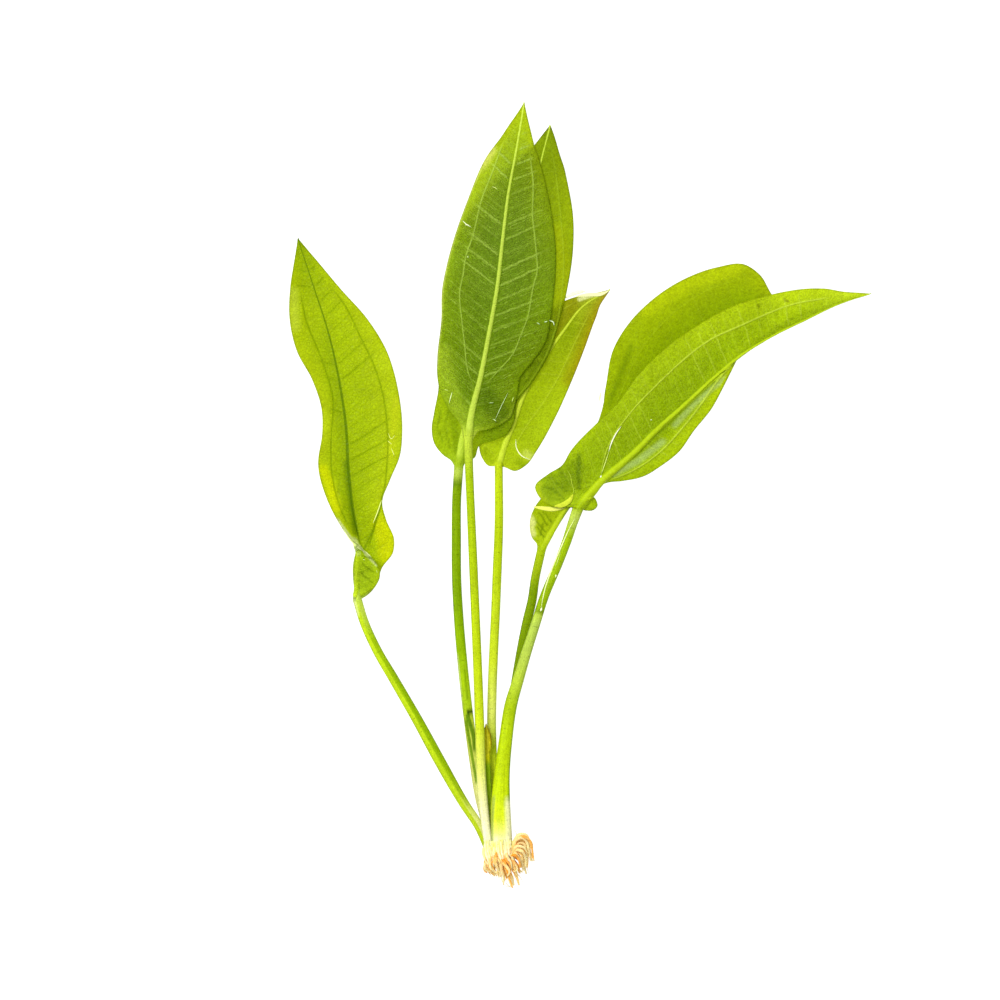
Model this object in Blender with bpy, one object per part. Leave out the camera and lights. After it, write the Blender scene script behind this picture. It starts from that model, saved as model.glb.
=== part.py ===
"""Bare amazon sword plant (Echinodorus), pulled from its pot and laid flat on its back.

Six grown leaves, each one solid piece from sheath to tip, one young spear leaf, the short crown
that they grow from and a tuft of trimmed roots. Shapes are laid out in millimetres on the surface
the plant lies on (+Y along the plant, +Z up) and scaled to metres when the meshes are made.
"""
import math

import bmesh
import bpy
import numpy as np

MM = 0.001

BLADE_T = 0.5          # leaf blade thickness
STALK_STATIONS = 11    # cross-sections along a stalk
BLADE_STATIONS = 19    # cross-sections along a blade
HALF_COLUMNS = 3       # columns between the midrib and a margin
TIP_CUT = 0.985        # the blade's last section, as a share of its length; a point closes it
KEEL_FADE = 0.12       # share of the blade in which the keel of the hollow side dies out
CROWN_AT = (-25.6, 4.9)            # the crown's axis: x, z
CROWN_TOP = -113.8                 # y where the leaf bases meet the crown
CROWN_PROFILE = ((0.0, 4.3), (-0.9, 4.75), (-1.9, 4.6), (-2.8, 3.5), (-3.3, 1.6))  # (y, radius)
CROWN_SIDES = 14
ROOT_THICK, ROOT_THIN = 0.75, 0.22  # root radius at the crown and at the tip

# Each leaf: stalk stations (x, y, z, half width, half thickness) from the crown to the blade,
# midrib stations (x, y, z, keel radius) from there to the tip, and the two margins (x, y, z).
# keel is +1 where the underside of the leaf, with its raised midrib, faces up. bulge lifts the
# middle of the left and right half off the straight line, and lead (under 1) lets a margin run
# ahead of the midrib.
LEAVES = {
    "left_leaf": dict(
        keel=-1, bulge=(-0.9, 0.9), lead=(1.0, 1.0),
        stalk=((-29.4, -113.4, 4, 1.3, 1.3), (-32, -105.9, 4.4, 1.5, 1.5), (-36.2, -99.2, 4, 1.6, 1.6),
               (-44.5, -84.8, 3, 1.8, 1.75), (-51.5, -72, 2.3, 1.7, 1.7), (-58.9, -59.2, 1.8, 1.6, 1.6),
               (-64.5, -49.6, 1.5, 1.5, 1.5), (-68.8, -40, 1.5, 1.45, 1.45), (-70.7, -33.6, 1.7, 1.45, 1.45)),
        rib=((-70.7, -33.6, 1.7, 1.45), (-71, -24.6, 1.8, 1.4), (-70.4, -17, 1.7, 1.3),
             (-72.3, -3.2, 1.5, 1.15), (-73.6, 9.3, 1.4, 1.05), (-74.2, 20.8, 1.3, 0.95),
             (-76.2, 35.2, 1.1, 0.8), (-79.7, 51.2, 0.9, 0.6), (-84.8, 67.2, 0.8, 0.4),
             (-89.6, 81.6, 0.8, 0.25)),
        left=((-67.8, -31.4, 2.8), (-64.6, -28.8, 3.4), (-63.4, -25.6, 4), (-64.3, -22.4, 4.6),
              (-68.5, -18.2, 5.2), (-73, -14.1, 5), (-77.1, -8, 4.2), (-80.3, -1.6, 3.6),
              (-83.2, 9.6, 3), (-81.9, 20.2, 2.6), (-82.2, 27.8, 2.4), (-85.1, 36.8, 2.2),
              (-90.2, 46.4, 2.2), (-92.5, 57.6, 2), (-92.2, 66.2, 1.6), (-89.6, 81.6, 0.8)),
        right=((-67.8, -32.3, 1.6), (-64.3, -28.2, 1.4), (-63, -23.7, 1.3), (-59.2, -18.2, 1.6),
               (-58.9, -14.4, 2.2), (-61.4, -8, 3.2), (-62.7, -2.6, 3.8), (-60.2, 4.8, 3),
               (-57, 12.8, 2.6), (-56.3, 20.8, 2.8), (-57.6, 33.6, 3.2), (-61.4, 46.4, 3.2),
               (-67.2, 56, 2.6), (-76.2, 66.2, 1.8), (-83.8, 75.2, 1.2), (-89.6, 81.6, 0.8))),
    "front_centre_leaf": dict(
        keel=1, bulge=(0.4, 0.4), lead=(0.9, 0.9),
        stalk=((-29.3, -113.4, 6.9, 1.3, 1.3), (-30.1, -102.4, 6.9, 1.4, 1.4), (-30.9, -91.2, 6.8, 1.5, 1.5),
               (-31.4, -76.8, 6.6, 1.5, 1.5), (-32, -59.2, 5.4, 1.45, 1.45), (-32.8, -40, 4.5, 1.4, 1.4),
               (-33.9, -14.4, 4.2, 1.35, 1.35), (-34.6, 1.6, 4.3, 1.3, 1.3), (-35, 11.8, 4.7, 1.35, 1.35),
               (-35.2, 17.6, 4.95, 1.45, 1.4)),
        rib=((-35.2, 17.6, 4.95, 1.4), (-34.2, 25.6, 4.4, 1.2), (-31.4, 37.1, 3.9, 1), (-28.5, 51.8, 3.7, 0.85),
             (-25.9, 66.6, 3.6, 0.75), (-24.2, 81.3, 3.5, 0.65), (-22.4, 96, 3.3, 0.55),
             (-19.8, 110.4, 3, 0.4), (-17.3, 125.2, 2.5, 0.25)),
        left=((-37.8, 22.6, 4), (-41, 26.9, 3.4), (-43.8, 32, 3), (-45.1, 38.1, 2.9), (-45.1, 43.8, 2.9),
              (-43.8, 56, 2.8), (-43.5, 66.2, 2.8), (-42.2, 73, 2.8), (-40, 81.3, 2.8), (-35.4, 94.4, 2.8),
              (-29.4, 108.2, 2.7), (-23, 116.8, 2.6), (-17.3, 125.2, 2.5)),
        right=((-31.7, 20.5, 4), (-28.2, 21.1, 3.8), (-24.6, 22.6, 3.6), (-21.8, 24.6, 3.4),
               (-19.8, 30.4, 3.2), (-18.2, 38.1, 3), (-14.4, 42.9, 2.9), (-10.6, 48.6, 2.9),
               (-8.6, 57.6, 2.9), (-7.5, 66.6, 2.9), (-7, 76.2, 2.9), (-8.6, 91.2, 2.9),
               (-11.8, 105.3, 2.8), (-15, 115.2, 2.6), (-17.3, 125.2, 2.5))),
    "back_centre_leaf": dict(
        keel=1, bulge=(0.2, 0.2), lead=(0.9, 0.9),
        stalk=((-27.4, -113.4, 2, 1.25, 1.25), (-29.4, -105.6, 1.9, 1.35, 1.35), (-31.4, -97.6, 1.8, 1.45, 1.45),
               (-33.3, -84.8, 1.7, 1.6, 1.6), (-35.2, -70.4, 1.6, 1.6, 1.6), (-36.8, -56, 1.6, 1.6, 1.6),
               (-38.2, -40, 1.6, 1.55, 1.55), (-38.9, -27.2, 1.6, 1.5, 1.5), (-39, -14.4, 1.6, 1.5, 1.5),
               (-38.9, -1.6, 1.7, 1.45, 1.45), (-38.2, 9.3, 1.8, 1.5, 1.5)),
        rib=((-38.2, 9.3, 1.8, 1.5), (-37.1, 17.6, 1.9, 1.3), (-34.6, 27.2, 2, 1.1), (-30.1, 40, 2.1, 0.9),
             (-24, 59.2, 2.1, 0.75), (-19.2, 76.8, 2.1, 0.6), (-15.4, 92.8, 2.1, 0.5),
             (-11.8, 107.2, 2, 0.35), (-9, 118.1, 1.9, 0.25)),
        left=((-40.6, 10.9, 1.6), (-43.2, 12.8, 1.5), (-46.1, 16.6, 1.5), (-46.9, 20.8, 1.6), (-46.1, 26.6, 1.7),
              (-44.8, 33.6, 1.8), (-44.8, 43.2, 1.9), (-43.8, 56, 1.9), (-41.6, 70.4, 1.9), (-37.8, 84.8, 1.9),
              (-30.7, 95.7, 2), (-22.7, 104, 2), (-16, 110.4, 2), (-9, 118.1, 1.9)),
        right=((-35.8, 10.9, 1.8), (-33.3, 11.8, 1.9), (-31.7, 15.7, 2.2), (-26.6, 17.6, 2.8), (-22.7, 19.5, 2.9),
               (-20.5, 23.4, 2.8), (-19.5, 29.8, 2.4), (-15, 35.5, 2.2), (-9.3, 45.1, 2.1), (-5.8, 56, 2.1),
               (-3.5, 65.6, 2.1), (-1.6, 78.4, 2.1), (-1.6, 89.6, 2.1), (-3.5, 100.8, 2),
               (-5.8, 110.4, 2), (-9, 118.1, 1.9))),
    "right_centre_leaf": dict(
        keel=1, bulge=(0.2, 0.2), lead=(0.9, 0.9),
        stalk=((-24.6, -113.4, 1.8, 1.25, 1.25), (-25.8, -105.6, 1.7, 1.3, 1.3), (-26.9, -97.6, 1.6, 1.4, 1.4),
               (-27.4, -84.8, 1.5, 1.45, 1.45), (-27.7, -73.6, 1.4, 1.45, 1.45), (-27.5, -62.4, 1.4, 1.45, 1.45),
               (-27, -49.6, 1.4, 1.45, 1.45), (-26.4, -36.8, 1.4, 1.45, 1.45), (-25.9, -24, 1.4, 1.45, 1.45),
               (-25.4, -11.2, 1.4, 1.4, 1.4), (-25.4, 9.3, 1.5, 1.3, 1.3)),
        rib=((-25.4, 9.3, 1.5, 1.3), (-23.7, 15.4, 1.3, 1.15), (-21.1, 21.8, 1.1, 1), (-17.3, 32.3, 0.9, 0.85),
             (-12.5, 41, 0.8, 0.7), (-4.5, 52.8, 0.8, 0.5), (1.9, 60.8, 0.9, 0.35), (9.3, 65.3, 1.2, 0.25)),
        left=((-28.5, 9.3, 1.4), (-30.7, 11.8, 1.2), (-31.7, 15.4, 1.1), (-31, 20.8, 1), (-29.1, 25.6, 0.9),
              (-24.3, 38.4, 0.8), (-17.9, 49.6, 0.8), (-10.6, 58.2, 0.8), (-3.8, 62.4, 1), (2.2, 64.2, 1.2),
              (9.3, 65.3, 1.2)),
        right=((-22.7, 8.6, 1.3), (-20.5, 7.7, 1.1), (-16.6, 9.6, 0.9), (-13.1, 14.4, 0.8), (-7.7, 24, 0.8),
               (-1.9, 36.8, 0.8), (1.9, 46.4, 0.9), (5.4, 56, 1), (9.3, 65.3, 1.2))),
    "front_right_leaf": dict(
        keel=1, bulge=(0.3, 0.2), lead=(0.65, 0.8),
        stalk=((-24.6, -113.4, 7.2, 3.2, 1.5), (-24.6, -107.2, 7.1, 3.3, 1.5), (-24.8, -99.2, 6.7, 3.1, 1.5),
               (-24.5, -91.2, 6.2, 2.6, 1.5), (-23.2, -78.4, 5.6, 2.15, 1.55), (-21.3, -66.2, 5, 2, 1.5),
               (-19.2, -59.2, 4.8, 1.8, 1.5), (-16.3, -49.6, 4.5, 1.6, 1.45), (-13.4, -40.6, 3.8, 1.5, 1.4),
               (-11.2, -33.6, 3.2, 1.45, 1.4), (-5.9, -20.8, 2.8, 1.45, 1.4), (-3.5, -14.4, 2.8, 1.5, 1.45),
               (-1.6, -8.6, 3, 1.6, 1.55), (0, -4.2, 3.3, 1.75, 1.7)),
        rib=((0, -4.2, 3.3, 1.7), (7, 3.8, 3.2, 1.4), (17.6, 13.1, 3, 1.1), (25.6, 21.1, 2.8, 0.95),
             (33.9, 28.5, 2.7, 0.85), (42.9, 36.8, 2.6, 0.75), (51.8, 44.2, 2.5, 0.65), (61.4, 50.2, 2.4, 0.55),
             (73, 56, 2.4, 0.45), (84.5, 61.4, 2.2, 0.3), (92.5, 64, 2, 0.25)),
        left=((-4.5, -4, 3.4), (-9, -3.5, 3.1), (-12.2, -1, 2.8), (-13.8, 2.6, 2.6), (-9.6, 6.7, 2.6),
              (-5.1, 9.6, 2.6), (-2.6, 13.8, 2.6), (6.4, 23.4, 2.4), (12.5, 29.4, 2.2), (19.2, 38.4, 2.1),
              (27.2, 46.4, 2.1), (38.7, 54.7, 2.1), (50.2, 60.8, 2.1), (62.1, 64.3, 2.1), (73, 66.1, 2.1),
              (82.6, 65.9, 2), (92.5, 64, 2)),
        right=((2.2, -4.8, 2.8), (4.5, -4.8, 2.4), (6.1, -2.9, 2.2), (6.1, 0.3, 2.2), (8, 3.8, 2.2),
               (14.7, 4.6, 2.2), (20.8, 5.9, 2.1), (26.6, 9.3, 2), (32.3, 13.8, 1.9), (37.1, 20.5, 1.8),
               (42.9, 27.8, 1.8), (46.1, 33.6, 1.8), (49.3, 40, 1.9), (52.2, 45.4, 2), (57.3, 50.2, 2.1),
               (67.8, 56.6, 2.1), (80.6, 61.4, 2), (92.5, 64, 2))),
    "back_right_leaf": dict(
        keel=1, bulge=(0.2, 0.2), lead=(0.8, 0.9),
        stalk=((-22.2, -113.4, 3.2, 1.25, 1.25), (-22.7, -105.6, 2.6, 1.35, 1.35), (-23.2, -97.6, 1.9, 1.4, 1.4),
               (-23.4, -88, 1.5, 1.45, 1.45), (-22.7, -78.4, 1.4, 1.5, 1.5), (-19.8, -59.2, 1.4, 1.5, 1.5),
               (-16.2, -40, 1.4, 1.5, 1.5), (-14.7, -33.6, 1.4, 1.45, 1.45), (-13.8, -27.2, 1.4, 1.4, 1.4),
               (-11.8, -17.9, 1.5, 1.4, 1.4)),
        rib=((-11.8, -17.9, 1.5, 1.4), (-8, -11.2, 1.4, 1.3), (-3.8, -4.2, 1.3, 1.2), (3.8, 8, 1.2, 1),
             (15, 24, 1, 0.8), (27.8, 40, 0.8, 0.6), (40.6, 51.8, 0.8, 0.45), (53.4, 58.6, 0.8, 0.35),
             (65.6, 60.5, 0.8, 0.25)),
        left=((-13.1, -16, 1.6), (-14.7, -13.8, 1.6), (-15.5, -10.2, 1.5), (-15, -6.4, 1.4), (-13.8, -3.8, 1.4),
              (-9.6, 1.6, 1.2), (-1.9, 11.8, 1), (4.5, 19.5, 0.9), (7.7, 27.2, 0.8), (9, 35.2, 0.8),
              (11.2, 46.4, 0.8), (16.6, 55.4, 0.8), (22.4, 61.4, 0.8), (32.6, 68.5, 0.8), (44.5, 73, 0.9),
              (53.4, 73.9, 1), (58.2, 70.7, 1), (62.4, 64, 0.9), (65.6, 60.5, 0.8)),
        right=((-10.2, -17.3, 1.2), (-6.7, -10.6, 1), (-2.6, -4.2, 0.9), (2.2, 1.6, 0.9), (8, 6.7, 0.8),
               (19.8, 12.8, 0.8), (31, 22.4, 0.8), (39, 33.6, 0.8), (48.6, 45.8, 0.8), (59.8, 54.4, 0.8),
               (65.6, 60.5, 0.8))),
    "young_leaf": dict(
        keel=1, bulge=(0.1, 0.1), lead=(1.0, 1.0),
        stalk=((-26.8, -113.4, 4.8, 0.6, 0.6), (-27.8, -105.6, 4.5, 0.8, 0.8), (-28.5, -97.6, 4.5, 0.9, 0.9),
               (-28.7, -91.2, 4.6, 0.9, 0.9), (-29.1, -83.2, 4.7, 0.8, 0.7)),
        rib=((-29.1, -83.2, 4.7, 0.7), (-29.3, -80, 4.7, 0.55), (-29.6, -76.8, 4.7, 0.45),
             (-29.9, -73.1, 4.8, 0.3)),
        left=((-30.2, -81.9, 4.6), (-30.6, -79.7, 4.6), (-30.6, -77.4, 4.6), (-30.3, -74.9, 4.7),
              (-29.9, -73.1, 4.8)),
        right=((-28.2, -82.2, 4.6), (-28, -80, 4.6), (-28.2, -77.4, 4.6), (-29, -74.9, 4.7),
               (-29.9, -73.1, 4.8))),
}

# Roots cut short, each a line of points from the crown to its tip.
ROOTS = (
    ((-20.5, -114.2, 6), (-20.2, -110.7, 7.5), (-18.9, -108.6, 7.6), (-16.6, -108.8, 6.5),
     (-15.7, -111.4, 5.5), (-15.4, -114.2, 4.8), (-14.7, -117.1, 4.2)),
    ((-20.3, -114.9, 3.5), (-18.9, -111.7, 3.2), (-17.3, -110.7, 3), (-16.3, -113, 2.5),
     (-16.2, -116.2, 2), (-16.3, -119.4, 1.4)),
    ((-20.3, -115.8, 5), (-19, -113.6, 5.2), (-17.8, -114.6, 4.6), (-17.6, -117.4, 3.6), (-16.6, -121.3, 2.6)),
    ((-21.6, -117.8, 6.5), (-20.5, -120, 6), (-19.5, -122.6, 5), (-18.9, -124.8, 4.4)),
    ((-22.7, -118.2, 3), (-22.2, -120.3, 2.6), (-21.1, -122.9, 2), (-20.6, -125.1, 1.4)),
    ((-24, -118.4, 7), (-24, -120.3, 6.6), (-23.7, -122.2, 5.8), (-23.4, -123.2, 5)),
    ((-25.1, -118.2, 4.2), (-25.4, -120, 3.6), (-25, -121.6, 2.8)),
    ((-27.6, -117.6, 6), (-28.6, -118.4, 6.2), (-28.3, -119.7, 5.6), (-27.5, -121, 4.8), (-26.7, -121.8, 4.2)),
    ((-26.4, -117.9, 2.6), (-26.9, -119.4, 2), (-26.6, -121.3, 1.2)),
    ((-28, -117.6, 3.4), (-29, -118.2, 2.7), (-29.2, -119.5, 2), (-28.5, -120.8, 1.3)),
)

COLOURS = {
    "leaf": (0.30, 0.48, 0.02),
    "young_leaf": (0.38, 0.40, 0.02),
    "crown": (0.85, 0.70, 0.40),
    "root": (0.85, 0.55, 0.25),
}


def curve(points, at):
    """The smooth curve through the points, read at shares of its chord length."""
    p = np.array(points, float)
    k = np.concatenate(([0], np.cumsum(np.linalg.norm(np.diff(p[:, :3], axis=0), axis=1))))
    k /= k[-1]
    slope = np.gradient(p, k, axis=0)
    i = np.clip(np.searchsorted(k, at, side="right") - 1, 0, len(k) - 2)
    h = (k[i + 1] - k[i])[:, None]
    t = (at[:, None] - k[i][:, None]) / h
    return ((2 * t**3 - 3 * t**2 + 1) * p[i] + (t**3 - 2 * t**2 + t) * h * slope[i]
            + (3 * t**2 - 2 * t**3) * p[i + 1] + (t**3 - t**2) * h * slope[i + 1])


def unit(v):
    return v / np.maximum(np.linalg.norm(v, axis=-1, keepdims=True), 1e-9)


def columns(ratio, n):
    """How far each column lies from the midrib, 0 to 1: evenly round a stalk (ratio 1), and on a
    wide blade with the inner third of them on the keel."""
    t = np.arange(n + 1) / n
    keel = np.minimum(1.15 * ratio, 0.454)[:, None]
    wide = np.where(t < 0.34, keel * t / 0.34, keel + (1 - keel) * (t - 0.34) / 0.66)
    blend = np.clip(ratio, 0, 1)[:, None] ** 2
    return (1 - blend) * wide + blend * np.sin(t * math.pi / 2)


def leaf_sections(leaf):
    """Top and bottom points of every cross-section, as two grids of stations by columns."""
    along = curve(leaf["stalk"], np.linspace(0, 1, STALK_STATIONS))[:-1]
    run = unit(np.gradient(curve(leaf["stalk"], np.linspace(0, 1, STALK_STATIONS))[:, :3], axis=0))
    side = unit(np.cross(run, (0, 0, 1)))
    n = HALF_COLUMNS
    out = np.sin(np.arange(-n, n + 1) / n * math.pi / 2)
    stalk = along[:, None, :3] + side[:-1, None] * along[:, None, 3, None] * out[None, :, None]
    share = np.ones((len(along), 1)) * np.abs(out)

    u = TIP_CUT * np.linspace(0, 1, BLADE_STATIONS) ** 1.15
    rib = curve(leaf["rib"], u)
    joint, width = rib[0, :3], leaf["stalk"][-1][3]
    halves, far = [], []
    for sign, points, bulge, lead in zip((-1, 1), (leaf["left"], leaf["right"]), leaf["bulge"], leaf["lead"]):
        edge = curve(((joint + sign * side[-1] * width),) + points, u**lead)
        reach = np.linalg.norm(edge - rib[:, :3], axis=1)
        v = columns(rib[:, 3] / np.maximum(reach, rib[:, 3]), n)[:, :, None]
        up = unit(np.cross(np.gradient(rib[:, :3], axis=0), sign * (edge - rib[:, :3])) * -1)
        lift = bulge * reach / reach.max()
        half = (rib[:, None, :3] * (1 - v) + edge[:, None] * v
                + 4 * v * (1 - v) * (lift[:, None] * up)[:, None])
        halves.append(half[:, ::sign][:, : n if sign < 0 else None] if sign < 0 else half)
        far.append(v[:, :, 0] * (reach / np.maximum(rib[:, 3], 1e-6))[:, None])
    blade = np.concatenate((halves[0], halves[1]), axis=1)
    distance = np.concatenate((far[0][:, :0:-1], far[1]), axis=1)

    middle = np.concatenate((stalk, blade))
    share = np.concatenate((share, distance))
    thick = np.concatenate((along[:, 4], rib[:, 3]))[:, None]
    normal = unit(np.cross(np.gradient(middle, axis=1), np.gradient(middle, axis=0)))
    if normal[STALK_STATIONS // 2, n, 2] < 0:
        normal = -normal
    half_t = BLADE_T / 2
    keel = np.sqrt(half_t**2 + np.maximum(thick**2 - half_t**2, 0) * np.clip(1 - share**2, 0, 1))
    fade = np.concatenate((np.ones(len(along)), np.clip(1 - u / KEEL_FADE, 0, 1)))[:, None]
    plain = half_t + (keel - half_t) * fade
    over, under = (keel, plain) if leaf["keel"] > 0 else (plain, keel)
    top = middle + normal * over[:, :, None]
    bottom = middle - normal * under[:, :, None]
    bottom[:, :, 2] = np.maximum(bottom[:, :, 2], 0)
    top[:, :, 2] = np.maximum(top[:, :, 2], 0.3)
    return top, bottom


def add_mesh(name, points, faces, material, smooth=True):
    mesh = bpy.data.meshes.new(name)
    mesh.from_pydata([tuple(p) for p in np.asarray(points) * MM], [], faces)
    bm = bmesh.new()
    bm.from_mesh(mesh)
    bmesh.ops.recalc_face_normals(bm, faces=bm.faces)
    bmesh.ops.triangulate(bm, faces=bm.faces)
    bm.to_mesh(mesh)
    bm.free()
    if smooth:
        mesh.shade_smooth()
    obj = bpy.data.objects.new(name, mesh)
    mesh.materials.append(material)
    bpy.context.scene.collection.objects.link(obj)
    return obj


def closed_rings(rings, first, last):
    """Points and faces of a skin over closed rings, its two ends drawn to a point each."""
    count, size = len(rings), len(rings[0])
    points = list(np.concatenate(rings)) + [first, last]
    faces = [(r * size + j, r * size + (j + 1) % size, (r + 1) * size + (j + 1) % size, (r + 1) * size + j)
             for r in range(count - 1) for j in range(size)]
    faces += [(count * size, (j + 1) % size, j) for j in range(size)]
    base = (count - 1) * size
    faces += [(count * size + 1, base + j, base + (j + 1) % size) for j in range(size)]
    return points, faces


def add_leaf(name, leaf, material):
    top, bottom = leaf_sections(leaf)
    rings = [np.concatenate((a, b[::-1])) for a, b in zip(top, bottom)]
    tip = np.array(leaf["rib"][-1][:3]) + (0, 0, 0.0 if leaf["rib"][-1][2] > 0.3 else 0.3)
    return add_mesh(name, *closed_rings(rings, rings[0].mean(axis=0), tip), material)


def add_crown(material):
    x, z = CROWN_AT
    turn = np.arange(CROWN_SIDES) * 2 * math.pi / CROWN_SIDES
    rings = []
    for y, radius in CROWN_PROFILE:
        lumps = radius * (1 + 0.04 * np.sin(3 * turn + y) + 0.03 * np.cos(5 * turn))
        rings.append(np.stack((x + lumps * np.cos(turn), CROWN_TOP + y + 0 * turn,
                               np.maximum(z + lumps * np.sin(turn), 0)), axis=1))
    end = (x, CROWN_TOP + CROWN_PROFILE[-1][0] - 0.15, z)
    return add_mesh("crown", *closed_rings(rings, rings[0].mean(axis=0), np.array(end)), material)


def add_root(number, points, material):
    path = curve(points, np.linspace(0, 1, 2 * len(points)))
    data = bpy.data.curves.new(f"root_{number:02d}", "CURVE")
    data.dimensions = "3D"
    data.bevel_depth = MM
    data.bevel_resolution = 1
    data.use_fill_caps = True
    line = data.splines.new("POLY")
    line.points.add(len(path) - 1)
    for i, (point, spot) in enumerate(zip(line.points, path)):
        share = i / (len(path) - 1)
        point.co = (*(spot * MM), 1)
        point.radius = ROOT_THICK + (ROOT_THIN - ROOT_THICK) * share**1.5
    data.materials.append(material)
    obj = bpy.data.objects.new(f"root_{number:02d}", data)
    bpy.context.scene.collection.objects.link(obj)
    return obj


def make_material(name, colour):
    material = bpy.data.materials.new(name)
    material.use_nodes = True
    shader = material.node_tree.nodes["Principled BSDF"]
    shader.inputs["Base Color"].default_value = (*colour, 1)
    shader.inputs["Roughness"].default_value = 0.45
    material.diffuse_color = (*colour, 1)
    return material


for old in list(bpy.data.objects):
    bpy.data.objects.remove(old)

materials = {name: make_material(name, colour) for name, colour in COLOURS.items()}
for name, leaf in LEAVES.items():
    add_leaf(name, leaf, materials["young_leaf" if name == "young_leaf" else "leaf"])
add_crown(materials["crown"])
for number, points in enumerate(ROOTS, 1):
    add_root(number, points, materials["root"])
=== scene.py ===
"""Looks of the bare amazon sword plant: fine leaf skins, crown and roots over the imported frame.

Every leaf skin is lofted from the same guide lines as its solid, with veins, curled edges and
wrinkles added. Lengths below are millimetres in the frame the CAD model uses.
"""

import math

import bpy
import numpy as np
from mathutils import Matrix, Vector


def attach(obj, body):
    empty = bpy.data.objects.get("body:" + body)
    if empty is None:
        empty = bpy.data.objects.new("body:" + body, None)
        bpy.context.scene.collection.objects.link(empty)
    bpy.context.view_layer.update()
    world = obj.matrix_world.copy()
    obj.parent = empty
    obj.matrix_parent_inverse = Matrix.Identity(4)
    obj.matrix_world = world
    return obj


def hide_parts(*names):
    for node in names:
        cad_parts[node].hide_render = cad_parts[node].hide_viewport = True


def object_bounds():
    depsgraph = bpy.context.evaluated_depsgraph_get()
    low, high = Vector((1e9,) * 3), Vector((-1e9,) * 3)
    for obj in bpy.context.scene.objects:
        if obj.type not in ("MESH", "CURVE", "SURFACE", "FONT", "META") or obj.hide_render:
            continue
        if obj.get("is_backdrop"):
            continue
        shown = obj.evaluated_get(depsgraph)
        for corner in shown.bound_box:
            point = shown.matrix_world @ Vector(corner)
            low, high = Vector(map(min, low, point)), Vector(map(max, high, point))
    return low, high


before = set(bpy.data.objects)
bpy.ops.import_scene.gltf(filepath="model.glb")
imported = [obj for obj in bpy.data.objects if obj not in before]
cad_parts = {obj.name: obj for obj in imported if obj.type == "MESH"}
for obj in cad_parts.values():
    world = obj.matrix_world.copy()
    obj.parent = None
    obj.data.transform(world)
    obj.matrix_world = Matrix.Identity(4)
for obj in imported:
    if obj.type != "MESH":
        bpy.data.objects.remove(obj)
cad_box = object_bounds()

MM = 0.001
BLADE_T = 0.5          # leaf blade thickness away from the veins
STALK_STATIONS = 84    # cross-sections along a stalk
BLADE_STATIONS = 236   # cross-sections along a blade
HALF_COLUMNS = 34      # columns between the midrib and a margin
KEEL_FADE = 0.12       # share of the blade in which the keel of the hollow side dies out
FAR_OFF = 50           # distance to a vein or a margin noted on a stalk, which has neither
PUCKER = 0.06          # height of the small uneven swellings of a blade
MAIN_RELIEF = 0.14     # how far a main side vein stands out
CROSS_RELIEF = 0.05    # how far a cross vein stands out
LOWEST = 0.02          # no skin comes nearer to the floor
LOWEST_TOP = 0.25      # no upper skin comes nearer to the floor
STRIP_STATIONS = 30     # cross-sections along a raised strip
STRIP_SIDES = 14        # points round a raised strip
STRANDS = 3            # root ends grown side by side from each line of STUBS
FRAY = 40              # frayed strips over the crown
FLOOR_GLOW = 1.05      # light given off by the floor, which shines through the leaves from below
SKY = 0.72             # strength of the even studio light
KEY_PLACE, KEY_SIZE, KEY_POWER = (-0.45, 0.35, 0.75), 0.4, 11.0    # soft lamp, metres and watts
CAMERA_PLACE, LENS, SENSOR = (-0.025, -0.0016, 1.782), 200, 36     # metres, millimetres

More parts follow.
